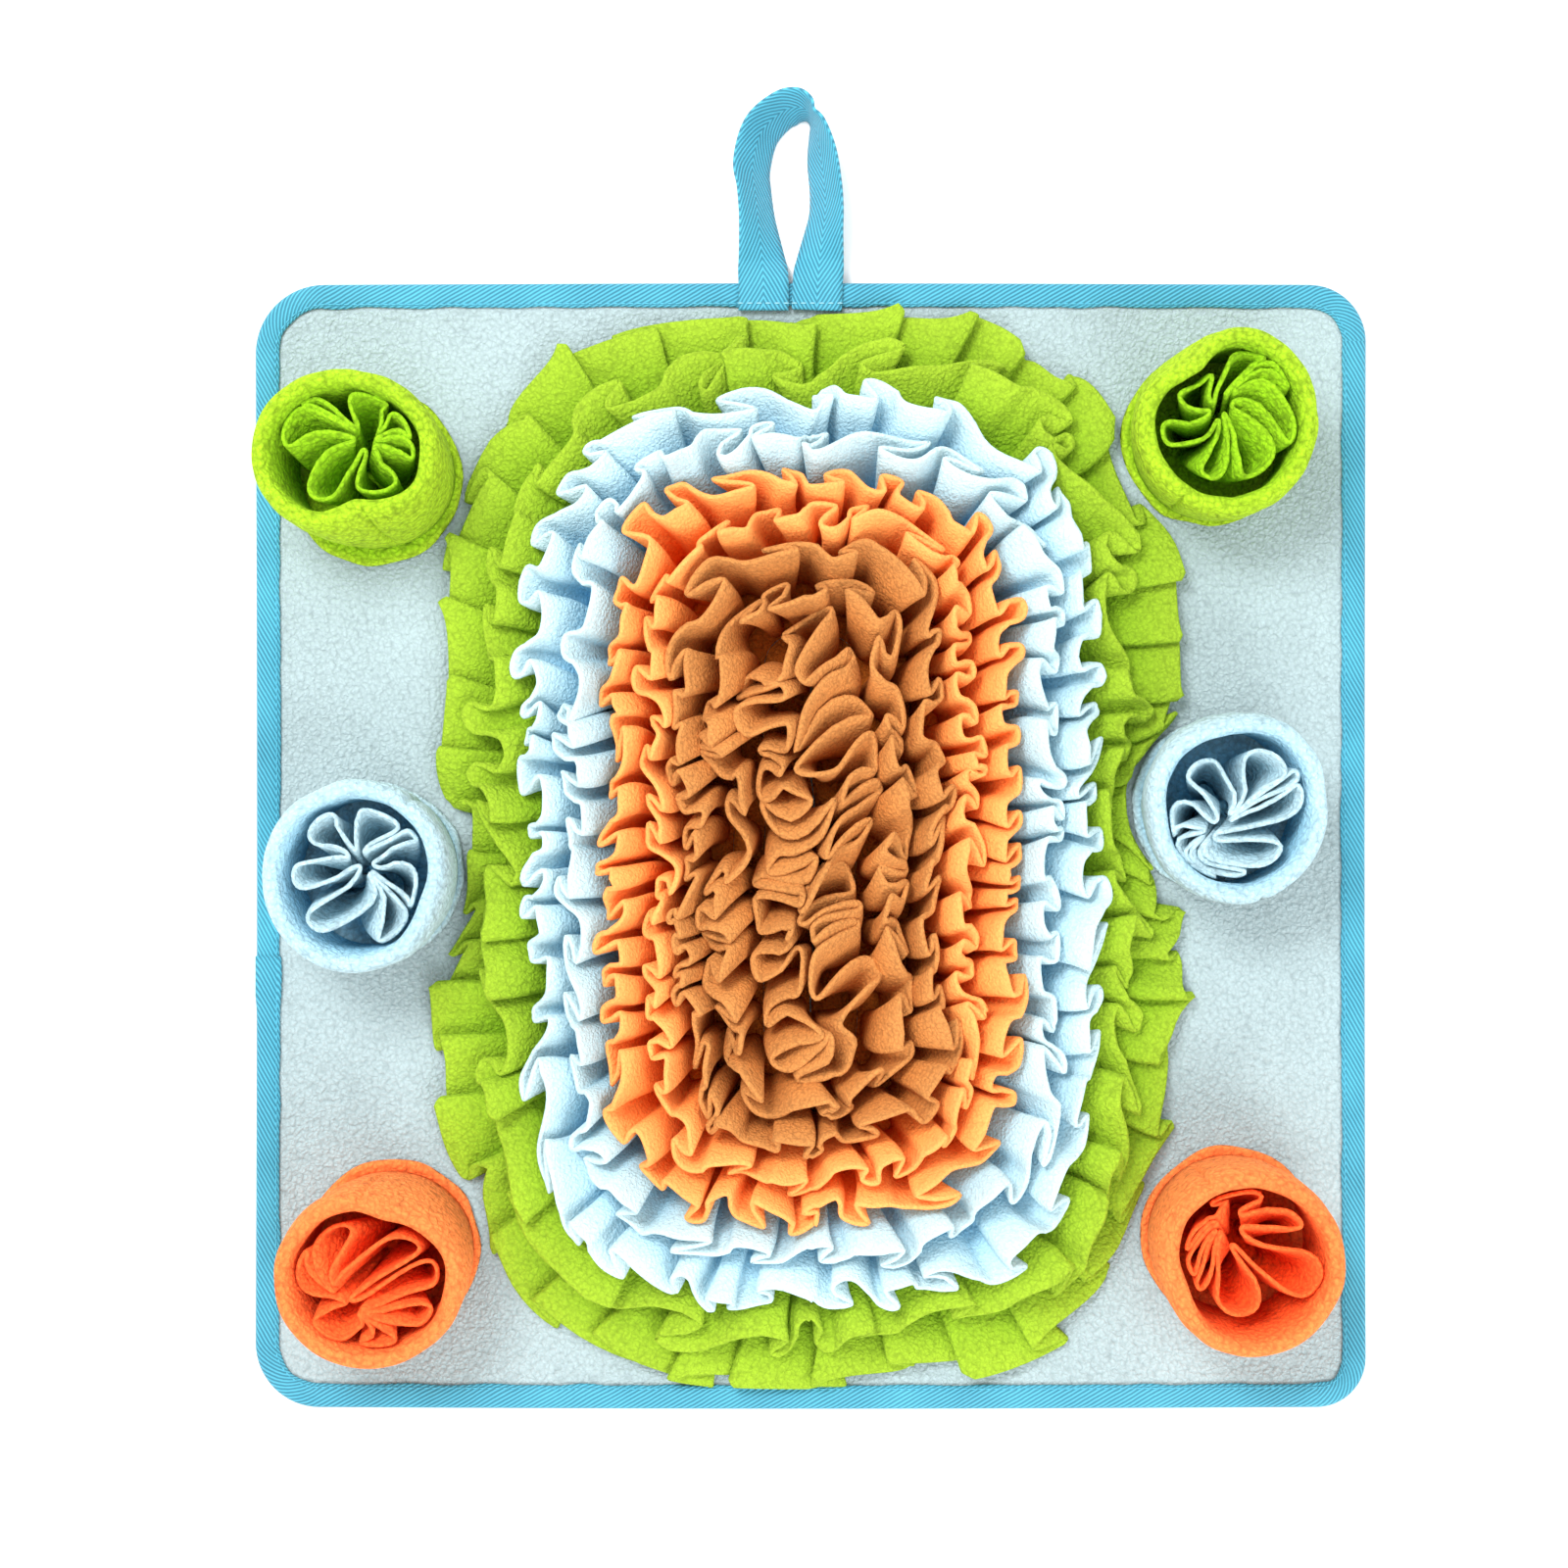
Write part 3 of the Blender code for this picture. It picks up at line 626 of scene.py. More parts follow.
def fold_line(length, folds, steps, lap, slant, wide_inside, jitter, unlike, seed):
    """One strip's folds, sample by sample: place along, lap, slant, side to side, extra reach.

    A fold goes out to side 1 and back to side -1. Lap hooks its tips over its neighbours, slant
    leans it along the strip, wide_inside makes the inner loops wider than the outer ones, and
    jitter and unlike make the folds' widths and depths differ.
    """
    random = np.random.RandomState(seed)
    widths = 1 + jitter * random.uniform(-1, 1, folds)
    widths *= length / widths.sum()
    starts = np.concatenate([[0], np.cumsum(widths)])[:-1]
    turn = 2 * math.pi * np.arange(steps) / steps
    side = np.tanh(FOLD_SQUARENESS * np.sin(turn)) / math.tanh(FOLD_SQUARENESS)
    outside = side >= 0
    within = turn / (2 * math.pi) + wide_inside * (np.cos(turn) - 1) / (2 * math.pi)
    drift = random.uniform(0, 2 * math.pi, 2)
    place, laps, slants, sides = [], [], [], []
    longer = random.uniform(-1, 1, 2 * folds)
    between_folds = np.arange(2 * folds) * steps / 2 + steps / 4
    ragged = np.interp(np.arange(folds * steps), between_folds, longer, period=folds * steps)
    for index, (start, width) in enumerate(zip(starts, widths)):
        outer_lap, inner_lap = lap * width * (1 + 0.6 * random.uniform(-1, 0.6, 2))
        round_it = 2 * math.pi * index / folds
        slow, quick = math.sin(3 * round_it + drift[0]), math.sin(7 * round_it + drift[1])
        lean = slant * (1 + SLOW_LEAN * slow + QUICK_LEAN * quick)
        outer_slant, inner_slant = width * (lean + 0.34 * jitter * random.uniform(-1, 1, 2))
        outer_depth, inner_depth = 1 - unlike * random.uniform(0, 1, 2)
        laps.append(-np.sin(2 * turn) * np.where(outside, outer_lap, inner_lap))
        slants.append(side * np.where(outside, outer_slant, inner_slant))
        sides.append(side * np.where(outside, outer_depth, inner_depth))
        place.append(start + width * within)
    return [np.concatenate(part) for part in (place, laps, slants, sides)] + [ragged]


def round_normals(middle, across_step):
    """Unit normals of a surface whose rows are closed rings."""
    along = np.roll(middle, -1, axis=1) - np.roll(middle, 1, axis=1)
    normal = np.cross(along, across_step)
    return normal / np.maximum(np.linalg.norm(normal, axis=2, keepdims=True), 1e-9)


def write_painted_light(mesh, painted_light_levels, count):
    """Writes each row's painted light level as the rise attribute: 0 for painted shade, 1 for the lit
    colour.
    """
    rise = np.repeat(np.array(painted_light_levels, dtype=np.float32), count)
    mesh.attributes.new("rise", "FLOAT", "POINT").data.foreach_set("value", rise)


def thick_cloth(name, middle, thickness, material, painted_light_levels, painted_edge_highlight):
    """Cloth through rows of closed rings, with a soft round edge along its last row.

    painted_light_levels gives each row its place between the painted shade and the lit colour, and
    painted_edge_highlight gives the edge its painted highlight.
    """
    up = np.gradient(middle, axis=0)
    normal = round_normals(middle, up)
    half = thickness / 2
    tip_up = up[-1] / np.linalg.norm(up[-1], axis=1, keepdims=True)
    outer = [middle[r] + half * normal[r] for r in range(len(middle))]
    inner = [middle[r] - half * normal[r] for r in range(len(middle))]
    cap = []
    for turn in (40, 90, 140):
        rise, side = math.sin(math.radians(turn)), math.cos(math.radians(turn))
        cap.append(middle[-1] + half * (rise * tip_up + side * normal[-1]))
    mesh = ring_mesh(name, outer + cap + inner[::-1], closed_profile=True)
    write_painted_light(mesh, [*painted_light_levels, *[painted_edge_highlight] * len(cap), *painted_light_levels[::-1]], middle.shape[1])
    return finished(name, mesh, material)


Frill = namedtuple("Frill", "name outer inner reach folds lap slant wide_inside jitter unlike seed")
FRILLS = (
    Frill("green_outer", "floor", "green_green", 149.0, 47, 0.00, 0.34, 0.10, 0.30, 0.20, 21),
    Frill("green_inner", "green_green", "green_blue", 133.0, 40, 0.10, -0.20, 0.35, 0.50, 0.36, 22),
    Frill("blue_outer", "green_blue", "blue_blue", 117.0, 44, 0.11, 0.20, 0.30, 0.50, 0.36, 23),
    Frill("blue_inner", "blue_blue", "blue_orange", 99.0, 40, 0.12, -0.16, 0.30, 0.50, 0.40, 24),
    Frill("orange_outer", "blue_orange", "orange_orange", 83.0, 42, 0.12, 0.18, 0.30, 0.46, 0.36, 25),
    Frill("orange_inner", "orange_orange", "orange_brown", 67.0, 39, 0.12, -0.15, 0.25, 0.44, 0.34, 26),
    Frill("brown_outer", "orange_brown", "brown_brown", 53.5, 30, 0.13, 0.17, 0.25, 0.50, 0.40, 27),
    Frill("brown_middle", "brown_brown", "brown_heart", 38.0, 25, 0.17, -0.10, 0.10, 0.52, 0.30, 28),
    Frill("brown_heart", "brown_heart", "spine", 24.0, 22, 0.17, 0.08, 0.00, 0.55, 0.14, 29),
)
Shade = namedtuple("Shade", "colour deep light curl_size curl_depth nap sheen")
# Each shade pairs its painted_shade colour, the cloth painted in shade, with its light colour, the cloth
# where lit.
FRILL_SHADES = {
    shade.colour: fleece(shade.colour + "_frill_fleece", *shade[1:])
    for shade in (
        Shade("green", (0.12, 0.32, 0.001), (0.29, 0.45, 0.024), 1.6, 0.8, 0.50, 0.15),
        Shade("blue", (0.22, 0.62, 0.90), (0.53, 0.70, 0.74), 1.3, 0.55, 0.30, 0.12),
        Shade("orange", (1.00, 0.20, 0.012), (1.00, 0.37, 0.100), 1.3, 0.55, 0.35, 0.15),
        Shade("brown", (0.60, 0.15, 0.015), (0.54, 0.22, 0.060), 1.4, 0.7, 0.55, 0.15),
    )
}
STEPS_PER_FOLD = 28
FRILL_ROWS = 12
CLEARANCE = 0.3
ROOT_LIFT = 0.8
EDGE_RAGGED = 0.08
FLAT_EDGE_RAGGED = 0.15
# A painted highlight along the frills' cut edges.
EDGE_PAINTED_HIGHLIGHT = 1.15
LOOSE_FROM = 150.0
LOOSE_RAMP = 40.0
STRAY = 2.4
STRAY_MORE_INSIDE = 1.4
STRAY_PITCH = 33.0
LIFT = 2.0
LIFT_PITCH = 26.0
INSIDE_HALF = 50.0
INSIDE_RADIUS = 55.0


def between(outer, inner, upwards, side):
    """Points from side -1 at the inner guide to +1 at the outer one, clear of both."""
    across = outer - inner
    span = np.linalg.norm(np.cross(across, upwards), axis=-1) / np.linalg.norm(upwards, axis=-1)
    reach = np.clip(1 - 2 * (FRILL_CLOTH / 2 + CLEARANCE) / span, 0.05, 1)
    return inner + across * (0.5 + 0.5 * side * reach)[..., None]


def loosened(points, rise):
    """Lets the cloth drift sideways and up and down by a few millimetres, all frills together.

    The brown middle drifts more, and its tops also flop: one way left of the spine, the other
    way right of it, and across it at the ends.
    """
    x, y = points[..., 0], points[..., 1]
    from_spine = np.hypot(x, np.maximum(np.abs(y) - SPINE_HALF, 0))
    room = np.clip((LOOSE_FROM - from_spine) / LOOSE_RAMP, 0, 1) * rise
    from_middle = np.hypot(x, np.maximum(np.abs(y) - INSIDE_HALF, 0))
    inmost = np.exp(-((from_middle / INSIDE_RADIUS) ** 2))
    flop = rise**3 * inmost
    at_ends = np.clip((np.abs(y) - 45) / 35, 0, 1) * np.sign(y)
    flop_x = 5 * np.sin(y / 15 + 1) - 9 * at_ends
    flop_y = 12 * np.tanh((x - 3) / 10) + 2
    stray = room * (STRAY + STRAY_MORE_INSIDE * inmost)
    points = points.copy()
    points[..., 0] += stray * soft_noise(x, y, STRAY_PITCH, seed=61) + flop * flop_x
    points[..., 1] += stray * soft_noise(x, y, STRAY_PITCH, seed=62) + flop * flop_y
    points[..., 2] += LIFT * room * soft_noise(x, y, LIFT_PITCH, seed=63) - LIFT * flop
    return points


def seam_band(outer, inner, radius):
    """The gathered edge of a strip, pressed flat on the pad under the row of stitches."""
    distance = np.linspace(0, round_oval(radius), SEAM_STEPS, endpoint=False)
    centre, angle = on_oval(distance, radius)
    far, near = (guide_points(guide, centre, angle, 0.0) for guide in (outer, inner))
    upwards = np.array([0.0, 0.0, SEAM_CLOTH])
    low = [near + share * (far - near) + 0.05 * upwards for share in (0.005, 0.995)]
    high = [row + 0.9 * upwards for row in low]
    return ring_mesh("seam_band", [low[0], low[1], high[1], high[0]], closed_profile=True)


def join_seam(cloth, band):
    """Makes a strip and its seam band one mesh."""
    shell = bmesh.new()
    shell.from_mesh(cloth)
    shell.from_mesh(band)
    bmesh.ops.recalc_face_normals(shell, faces=shell.faces)
    for face in shell.faces:
        face.smooth = True
    shell.to_mesh(cloth)
    shell.free()


def make_frill(frill):
    outer, inner = GUIDES[frill.outer], GUIDES[frill.inner]
    radius = (outer.root + inner.root) / 2
    stop = min(share_at(outer, frill.reach), 1.0)
    place, laps, slants, sides, ragged = fold_line(
        round_oval(radius), frill.folds, STEPS_PER_FOLD, frill.lap, frill.slant, frill.wide_inside,
        frill.jitter, frill.unlike, frill.seed,
    )
    upright = outer.root_z == inner.root_z
    uneven = EDGE_RAGGED if upright else FLAT_EDGE_RAGGED
    ends = (outer, stop), (inner, 1.0)
    rows = []
    for rise in np.linspace(0, 1, FRILL_ROWS):
        ease = 0.3 + 0.7 * rise
        centre, angle = on_oval(place + ease * laps + (0.15 + 0.85 * rise**0.8) * slants, radius)
        reach = rise + uneven * ragged * rise**2
        pair = [guide_points(guide, centre, angle, reach * end) for guide, end in ends]
        low, high = max(rise - 0.04, 0), min(rise + 0.04, 1)
        upwards = sum(
            guide_points(guide, centre, angle, high * end) - guide_points(guide, centre, angle, low * end)
            for guide, end in ends
        )
        rows.append(loosened(between(*pair, upwards, sides), rise))
    rows[0][:, 2] += ROOT_LIFT * upright
    colour = frill.name.split("_")[0]
    # Painted light: painted shade at the seam, down among the folds, grading to the lit colour at the free
    # edge.
    painted_light_levels = np.linspace(0, 1, FRILL_ROWS)
    name = "frill_cloth_" + frill.name
    cloth = thick_cloth(name, np.array(rows), FRILL_CLOTH, FRILL_SHADES[colour], painted_light_levels, EDGE_PAINTED_HIGHLIGHT)
    # The seam band takes no rise values, so it is coloured wholly in the painted shade.
    if upright:
        join_seam(cloth.data, seam_band(outer, inner, radius))
    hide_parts("frill_" + frill.name)
    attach(cloth, "root")


for frill in FRILLS:
    make_frill(frill)


# --- The six treat cups -----------------------------------------------
# Pockets of the same fleece standing on the pad: a round base and a wall of doubled cloth, whose
# fold makes the puffy rim and whose ends meet in one upright seam. The doubled wall sags a little,
# so no rim is quite round, and each leans its own way.

CUP_FLOOR = 5.6
CUP_TOP = 41.6
BASE_RADIUS = 36.0
WALL_CLOTH = 2.4
CUP_SIDES = 180
DENT_WIDTH = 0.55
SEAM_GROOVE = 1.5
SEAM_WIDTH = 0.04
SEAM_DEGREES = {
    "green_left": -70, "blue_left": 55, "orange_left": 95,
    "green_right": -120, "blue_right": -75, "orange_right": 118,
}
WALL_PROFILE = (
    Point(5.0, 0.6), Point(4.2, 5.0), Point(2.8, 11.0), Point(1.8, 18.0), Point(1.0, 26.0),
    Point(0.5, 33.0), Point(0.7, 37.5), Point(1.5, 40.4), Point(3.0, CUP_TOP), Point(4.4, 40.9),
    Point(5.4, 38.2), Point(6.0, 33.0), Point(6.4, 25.0), Point(6.6, 15.0), Point(6.6, 6.0),
)
# Painted light down the wall, row by row: lit up the outside with a little painted shade at its foot, then
# painted shade that starts at the rim and deepens down the inside to the floor.
WALL_PAINTED_LIGHT = [0.9, 1.0, 1.0, 1.0, 1.0, 1.0, 0.95, 0.85, 0.78, 0.72, 0.6, 0.45, 0.3, 0.1, 0.0]
Ply = namedtuple("Ply", "share height rise")
# Each ply's rise is painted light: the disc's rim is lit, and its top is painted darker towards the
# middle, painted shade down in the cup.
BASE_DISC = (
    Ply(0.3, 3.4, 0.3), Ply(0.9, 3.4, 0.5), Ply(0.975, 3.55, 0.8), Ply(1.0, 4.4, 1.0),
    Ply(0.975, 5.2, 0.9), Ply(0.9, 5.3, 0.6), Ply(0.3, 5.3, 0.0),
)
# Painted shade and lit colours for the cups, as for the frills.
CUP_SHADES = {
    shade.colour: fleece(shade.colour + "_cup_fleece", *shade[1:])
    for shade in (
        Shade("green", (0.20, 0.50, 0.002), (0.36, 0.55, 0.020), 2.1, 1.15, 0.85, 0.15),
        Shade("blue", (0.24, 0.66, 0.93), (0.47, 0.62, 0.66), 2.1, 1.15, 0.60, 0.12),
        Shade("orange", (1.00, 0.050, 0.001), (1.00, 0.255, 0.065), 2.1, 1.15, 0.75, 0.15),
    )
}


def hollow(angle, degrees, width):
    """A dip of depth 1 at one place round a cup, with its width in radians."""
    away = np.mod(angle - math.radians(degrees) + math.pi, 2 * math.pi) - math.pi
    return np.exp(-((away / width) ** 2))


def cup_reach(cup, angle, rise):
    """How far the wall stands from the cup's middle, dented where the rim sags inwards."""
    oval = np.hypot(cup.rim_x * np.cos(angle), cup.rim_y * np.sin(angle))
    return oval - 1.6 * cup.dent * rise**2 * hollow(angle, cup.dent_angle, DENT_WIDTH)


def make_cup_wall(cup, angle, around, shade):
    """Rows from the wall's outer foot up over the rim and down inside."""
    lean = np.array([cup.lean_x, cup.lean_y])
    x, y = 30 * around.T
    rim = 0.9 * soft_noise(x, y, 26.0, cup.seed)
    rows = []
    for inset, height in WALL_PROFILE:
        rise = height / CUP_TOP
        reach = cup_reach(cup, angle, rise) - WALL_CLOTH / 2 - inset
        wave = soft_noise(x + height, y - height, 17.0, cup.seed + 20)
        reach = reach - 0.35 * (1 + wave) * (height > 3)
        groove = SEAM_GROOVE * hollow(angle, SEAM_DEGREES[cup.name], SEAM_WIDTH)
        reach = reach - groove * (inset < 3.5)
        flat = (cup.x, cup.y) + lean * rise + reach[:, None] * around
        tall = CUP_FLOOR + height - 1.2 * (rise > 0.85) + rim * rise**3
        rows.append(np.column_stack([flat, np.minimum(tall, CUP_FLOOR + height + 0.6)]))
    name = "cup_wall_cloth_" + cup.name
    # The soft edge at the inside foot takes the deepest painted shade.
    foot_painted_light = WALL_PAINTED_LIGHT[-1]
    return thick_cloth(name, np.array(rows), WALL_CLOTH, shade, WALL_PAINTED_LIGHT, foot_painted_light)


def make_cup_base(cup, around, shade):
    """A disc of fleece with a soft edge that lifts off the pad a little."""
    x, y = 30 * around.T
    edge = BASE_RADIUS + 0.6 * soft_noise(x, y, 20.0, cup.seed + 40) - 0.6
    lift = np.abs(0.25 * soft_noise(x, y, 24.0, cup.seed + 50))
    rows = []
    for ply in BASE_DISC:
        flat = (cup.x, cup.y) + (edge * ply.share)[:, None] * around
        lifted = lift * ply.share * (ply.share > 0.8)
        rows.append(np.column_stack([flat, ply.height + 0.15 + lifted]))
    mesh = ring_mesh("cup_base_cloth_" + cup.name, rows, closed_profile=False)
    write_painted_light(mesh, [ply.rise for ply in BASE_DISC], CUP_SIDES)
    close_ends(mesh)
    return finished("cup_base_cloth_" + cup.name, mesh, shade)


def make_cup(cup):
    colour = cup.name.split("_")[0]
    shade = CUP_SHADES[colour]
    angle = np.linspace(0, 2 * math.pi, CUP_SIDES, endpoint=False)
    around = np.column_stack([np.cos(angle), np.sin(angle)])

    wall = make_cup_wall(cup, angle, around, shade)
    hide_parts("cup_wall_" + cup.name)
    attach(wall, "root")

    base = make_cup_base(cup, around, shade)
    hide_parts("cup_base_" + cup.name)
    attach(base, "root")


for cup in CUPS:
    make_cup(cup)


# --- The gathered strips inside the cups ------------------------------
# A strip of thinner fleece 36 mm wide, gathered to a small ring of loops that stands on the cup's
# base and is sewn there. The loops spread out to the wall, twist and flop towards one side.

POSY_HEIGHT = 36.0
POSY_CLOTH = 1.7
POSY_ROWS = 9
POSY_LAP = 0.10
POSY_SLANT = 0.12
POSY_WIDE_INSIDE = -0.45
POSY_JITTER = 0.70
POSY_UNLIKE = 0.30
POSY_INSIDE = 3.0
POSY_FROM_WALL = 8.6
ROOT_FROM_WALL = 14.0
POSY_TURN = 0.55
POSY_FLOP = 11.0
POSY_WAVE = 6.0
POSY_LIFT = 0.5
POSY_DROOP = 2.4
# Painted light up each posy, from root to top: painted shade low in the cup, lighter towards the top.
POSY_PAINTED_LIGHT = {"green": (0.0, 0.4), "blue": (0.4, 0.9), "orange": (0.0, 0.4)}
POSY_STEPS = 30


def make_posy(cup):
    random = np.random.RandomState(cup.seed + 60)
    place, laps, slants, sides = fold_line(
        2 * math.pi, cup.folds, POSY_STEPS, POSY_LAP, POSY_SLANT, POSY_WIDE_INSIDE,
        POSY_JITTER, POSY_UNLIKE, cup.seed + 60,
    )[:4]
    flop, first, second = random.uniform(0, 2 * math.pi, 3)
    twist = random.choice([-1, 1]) * random.uniform(0.5, 0.9)
    rows = []
    for rise in np.linspace(0, 1, POSY_ROWS):
        angle = place + (0.4 + 0.6 * rise) * laps + (0.2 + 0.8 * rise) * slants
        angle = angle + POSY_TURN * twist * rise
        room = cup_reach(cup, angle, rise) - POSY_FROM_WALL - POSY_CLOTH / 2
        room = room - (ROOT_FROM_WALL - 13.6 * rise**0.8)
        reach = (POSY_INSIDE + room) / 2 + sides * (room - POSY_INSIDE) / 2
        turned = angle + twist * (1 - reach / room)
        x, y = reach * np.cos(turned), reach * np.sin(turned)
        free = (1 - (reach / room) ** 2) * rise**2.2
        x, y = (
            x + free * (POSY_FLOP * math.cos(flop) + POSY_WAVE * np.sin(y / 8 + first)),
            y + free * (POSY_FLOP * math.sin(flop) + POSY_WAVE * np.sin(x / 8 + second)),
        )
        x, y = x + cup.x + cup.lean_x * rise, y + cup.y + cup.lean_y * rise
        droop = POSY_DROOP * soft_noise(x, y, 22.0, cup.seed + 70) * rise
        height = CUP_FLOOR + POSY_LIFT + rise * (POSY_HEIGHT - POSY_LIFT) + droop
        rows.append(np.column_stack([x, y, height]))
    colour = cup.name.split("_")[0]
    # Painted shade at the root, lighter up the loops.
    painted_light_levels = np.linspace(*POSY_PAINTED_LIGHT[colour], POSY_ROWS)
    name = "cup_frill_cloth_" + cup.name
    cloth = thick_cloth(name, np.array(rows), POSY_CLOTH, CUP_SHADES[colour], painted_light_levels, painted_light_levels[-1])
    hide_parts("cup_frill_" + cup.name)
    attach(cloth, "root")


for cup in CUPS:
    make_posy(cup)


# --- The hanging loop -------------------------------------------------
# The same tape with a herringbone weave, doubled back on itself above the pad's top edge. Its two
# ends lie side by side over the binding and are sewn down; the bight stands on its edge and twists.

Turn = namedtuple("Turn", "x y tilt")
LOOP = (
    Turn(-19.1, 216.6, 0.0), Turn(-19.1, 228.5, 0.0), Turn(-19.9, 238.7, 27.0), Turn(-21.5, 252.5, 46.0),
    Turn(-22.9, 265.2, 50.0), Turn(-23.8, 275.0, 46.0), Turn(-20.3, 288.0, 48.0), Turn(-12.5, 295.9, 56.0),
    Turn(-6.2, 298.1, 62.0), Turn(-1.6, 296.9, 76.0), Turn(0.6, 293.7, 86.0), Turn(2.6, 289.0, 74.0),
    Turn(4.4, 278.1, 58.0), Turn(6.0, 265.4, 54.0), Turn(6.2, 255.7, 50.0), Turn(5.0, 246.3, 40.0),
    Turn(3.8, 236.9, 22.0), Turn(2.9, 228.5, 0.0), Turn(2.4, 216.6, 0.0),
)
LOOP_STEPS = 12
LOOP_ACROSS = 9
LOOP_ON_PAD = TAPE_TOP + 0.85
FLAT_TILT = 27.0
STEEPEST_TILT = 88.0
LOOP_STITCH_Y = 219.4
LOOP_STITCH_REACH = 9.2
LOOP_STITCH_HEIGHT = LOOP_ON_PAD + TAPE_THICKNESS / 2 + 0.15


def curve_through(points, steps):
    """A smooth curve through the points, with even steps between each pair."""
    padded = np.vstack([2 * points[0] - points[1], points, 2 * points[-1] - points[-2]])
    share = np.arange(steps)[:, None] / steps
    pieces = []
    for a, b, c, d in zip(padded, padded[1:], padded[2:], padded[3:]):
        pieces.append(0.5 * (
            2 * b + (c - a) * share + (2 * a - 5 * b + 4 * c - d) * share**2
            + (3 * b - a - 3 * c + d) * share**3
        ))
    return np.vstack(pieces + [points[-1:]])


def make_loop():
    line = curve_through(np.array(LOOP), LOOP_STEPS)
    middle, tilt = line[:, :2], np.radians(np.clip(line[:, 2], 0, STEEPEST_TILT))
    along = np.gradient(middle, axis=0)
    along /= np.linalg.norm(along, axis=1, keepdims=True)
    outward = np.column_stack([-along[:, 1], along[:, 0]])
    half = TAPE_WIDTH / 2
    flat_share = np.clip(1 - np.degrees(tilt) / FLAT_TILT, 0, 1)
    on_floor = half * np.sin(tilt) + TAPE_THICKNESS / 2 * np.cos(tilt) + 0.1
    height = flat_share * LOOP_ON_PAD + (1 - flat_share) * np.maximum(on_floor, 0.8 * LOOP_ON_PAD)
    rows = []
    for share in np.linspace(-1, 1, LOOP_ACROSS):
        flat = middle + (share * half * np.cos(tilt))[:, None] * outward
        rows.append(np.column_stack([flat, height + share * half * np.sin(tilt)]))
    strip = np.array(rows)
    up = np.gradient(strip, axis=0)
    forward = np.gradient(strip, axis=1)
    normal = np.cross(forward, up)
    normal /= np.linalg.norm(normal, axis=2, keepdims=True)
    skin = TAPE_THICKNESS / 2
    shape = np.concatenate([strip + skin * normal, (strip - skin * normal)[::-1]])
    count = shape.shape[1]
    steps = np.linalg.norm(np.diff(middle, axis=0), axis=1)
    run = np.concatenate([[0], np.cumsum(steps)])
    width = np.linspace(0, TAPE_WIDTH, LOOP_ACROSS)
    across = np.concatenate([width, width[::-1]])
    faces, uvs = [], []
    rings = shape.shape[0]
    for row in range(rings):
        following = (row + 1) % rings
        for step in range(count - 1):
            corners = (row, step), (row, step + 1), (following, step + 1), (following, step)
            faces.append([r * count + s for r, s in corners])
            uvs += [(run[s], across[r]) for r, s in corners]
    for step, order in ((0, 1), (count - 1, -1)):
        for row in range(LOOP_ACROSS - 1):
            back = rings - 1 - row
            faces.append([r * count + step for r in (row, row + 1, back - 1, back)][::order])
            uvs += [(run[step], 0.0)] * 4
    mesh = bpy.data.meshes.new("hanging_loop_tape")
    mesh.from_pydata((shape.reshape(-1, 3) * MM).tolist(), [], faces)
    layer = mesh.uv_layers.new(name="tape_uv")
    layer.data.foreach_set("uv", np.array(uvs, dtype=np.float32).ravel())
    tape = finished("hanging_loop_tape", mesh, twill("loop_twill", herringbone=True))
    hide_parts("loop")
    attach(tape, "root")


def sew_loop():
    """One row of stitches across each end, in a paler thread."""
    lines = [
        [(middle + side * LOOP_STITCH_REACH, LOOP_STITCH_Y, LOOP_STITCH_HEIGHT) for side in (-1, 1)]
        for middle in (-19.1, 2.6)
    ]
    make_stitches("loop_stitches", lines, dyed_thread("loop_thread", (0.24, 0.52, 0.62)))


make_loop()
sew_loop()


# --- Camera, light and table ------------------------------------------
# The camera looks straight down from 0.95 m on to a plain white table. A white room gives most of
# the light, and two round lamps, a key at the upper left and a weak fill below, model the folds.

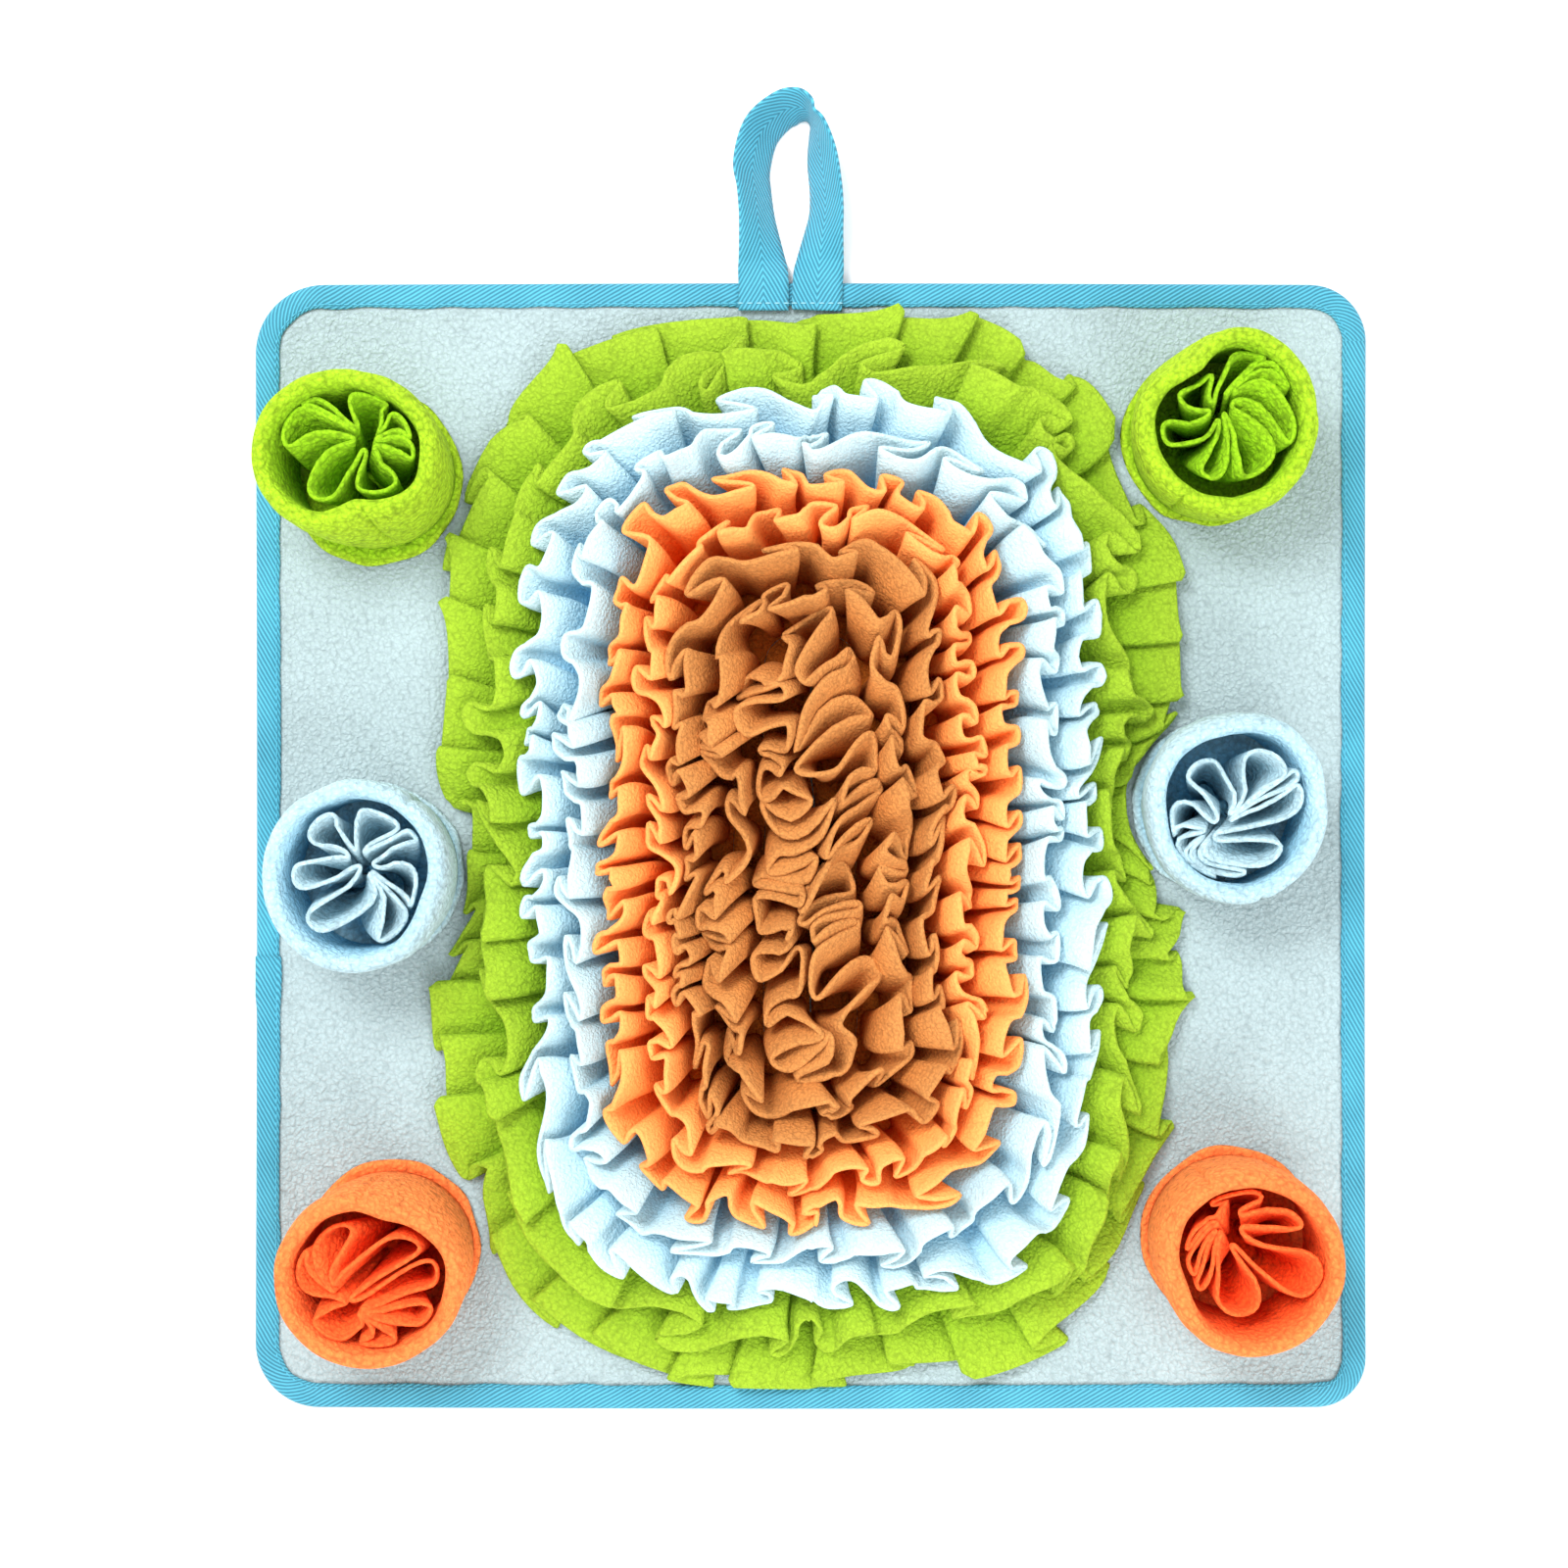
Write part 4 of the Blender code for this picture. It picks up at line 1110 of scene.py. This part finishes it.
CAMERA_HEIGHT = 0.950
FRAME_WIDTH = 0.6378
SENSOR_WIDTH = 36.0
AIM = (-0.0108, 0.0251)
TABLE_HALF = 3.0
TABLE_WHITE = (0.9, 0.9, 0.9, 1.0)
TABLE_ROUGHNESS = 0.9
ROOM_LIGHT = 1.25
Lamp = namedtuple("Lamp", "name place size watts")
LAMPS = (
    Lamp("key", (-0.7, 0.9, 1.5), 0.8, 30.0),
    Lamp("fill", (0.5, -1.1, 0.9), 1.0, 14.0),
)


def place_camera():
    data = bpy.data.cameras.new("camera")
    data.sensor_width = SENSOR_WIDTH
    data.lens = SENSOR_WIDTH * CAMERA_HEIGHT / FRAME_WIDTH
    camera = bpy.data.objects.new("camera", data)
    camera.location = (*AIM, CAMERA_HEIGHT)
    bpy.context.scene.collection.objects.link(camera)
    bpy.context.scene.camera = camera


def place_table():
    corners = [(x * TABLE_HALF, y * TABLE_HALF, 0) for x, y in ((-1, -1), (1, -1), (1, 1), (-1, 1))]
    mesh = bpy.data.meshes.new("table")
    mesh.from_pydata(corners, [], [(0, 1, 2, 3)])
    paint = bpy.data.materials.new("table_white")
    paint.use_nodes = True
    shader = paint.node_tree.nodes["Principled BSDF"]
    shader.inputs["Base Color"].default_value = TABLE_WHITE
    shader.inputs["Roughness"].default_value = TABLE_ROUGHNESS
    mesh.materials.append(paint)
    table = bpy.data.objects.new("table", mesh)
    bpy.context.scene.collection.objects.link(table)


def light_room():
    world = bpy.data.worlds.new("studio")
    bpy.context.scene.world = world
    world.use_nodes = True
    background = world.node_tree.nodes["Background"]
    background.inputs["Color"].default_value = (1.0, 1.0, 1.0, 1.0)
    background.inputs["Strength"].default_value = ROOM_LIGHT
    for lamp in LAMPS:
        data = bpy.data.lights.new(lamp.name, "AREA")
        data.shape = "DISK"
        data.size = lamp.size
        data.energy = lamp.watts
        light = bpy.data.objects.new(lamp.name, data)
        light.location = lamp.place
        light.rotation_euler = (-Vector(lamp.place)).to_track_quat("-Z", "Y").to_euler()
        bpy.context.scene.collection.objects.link(light)


place_camera()
place_table()
light_room()
bpy.context.scene.view_settings.view_transform = "Standard"
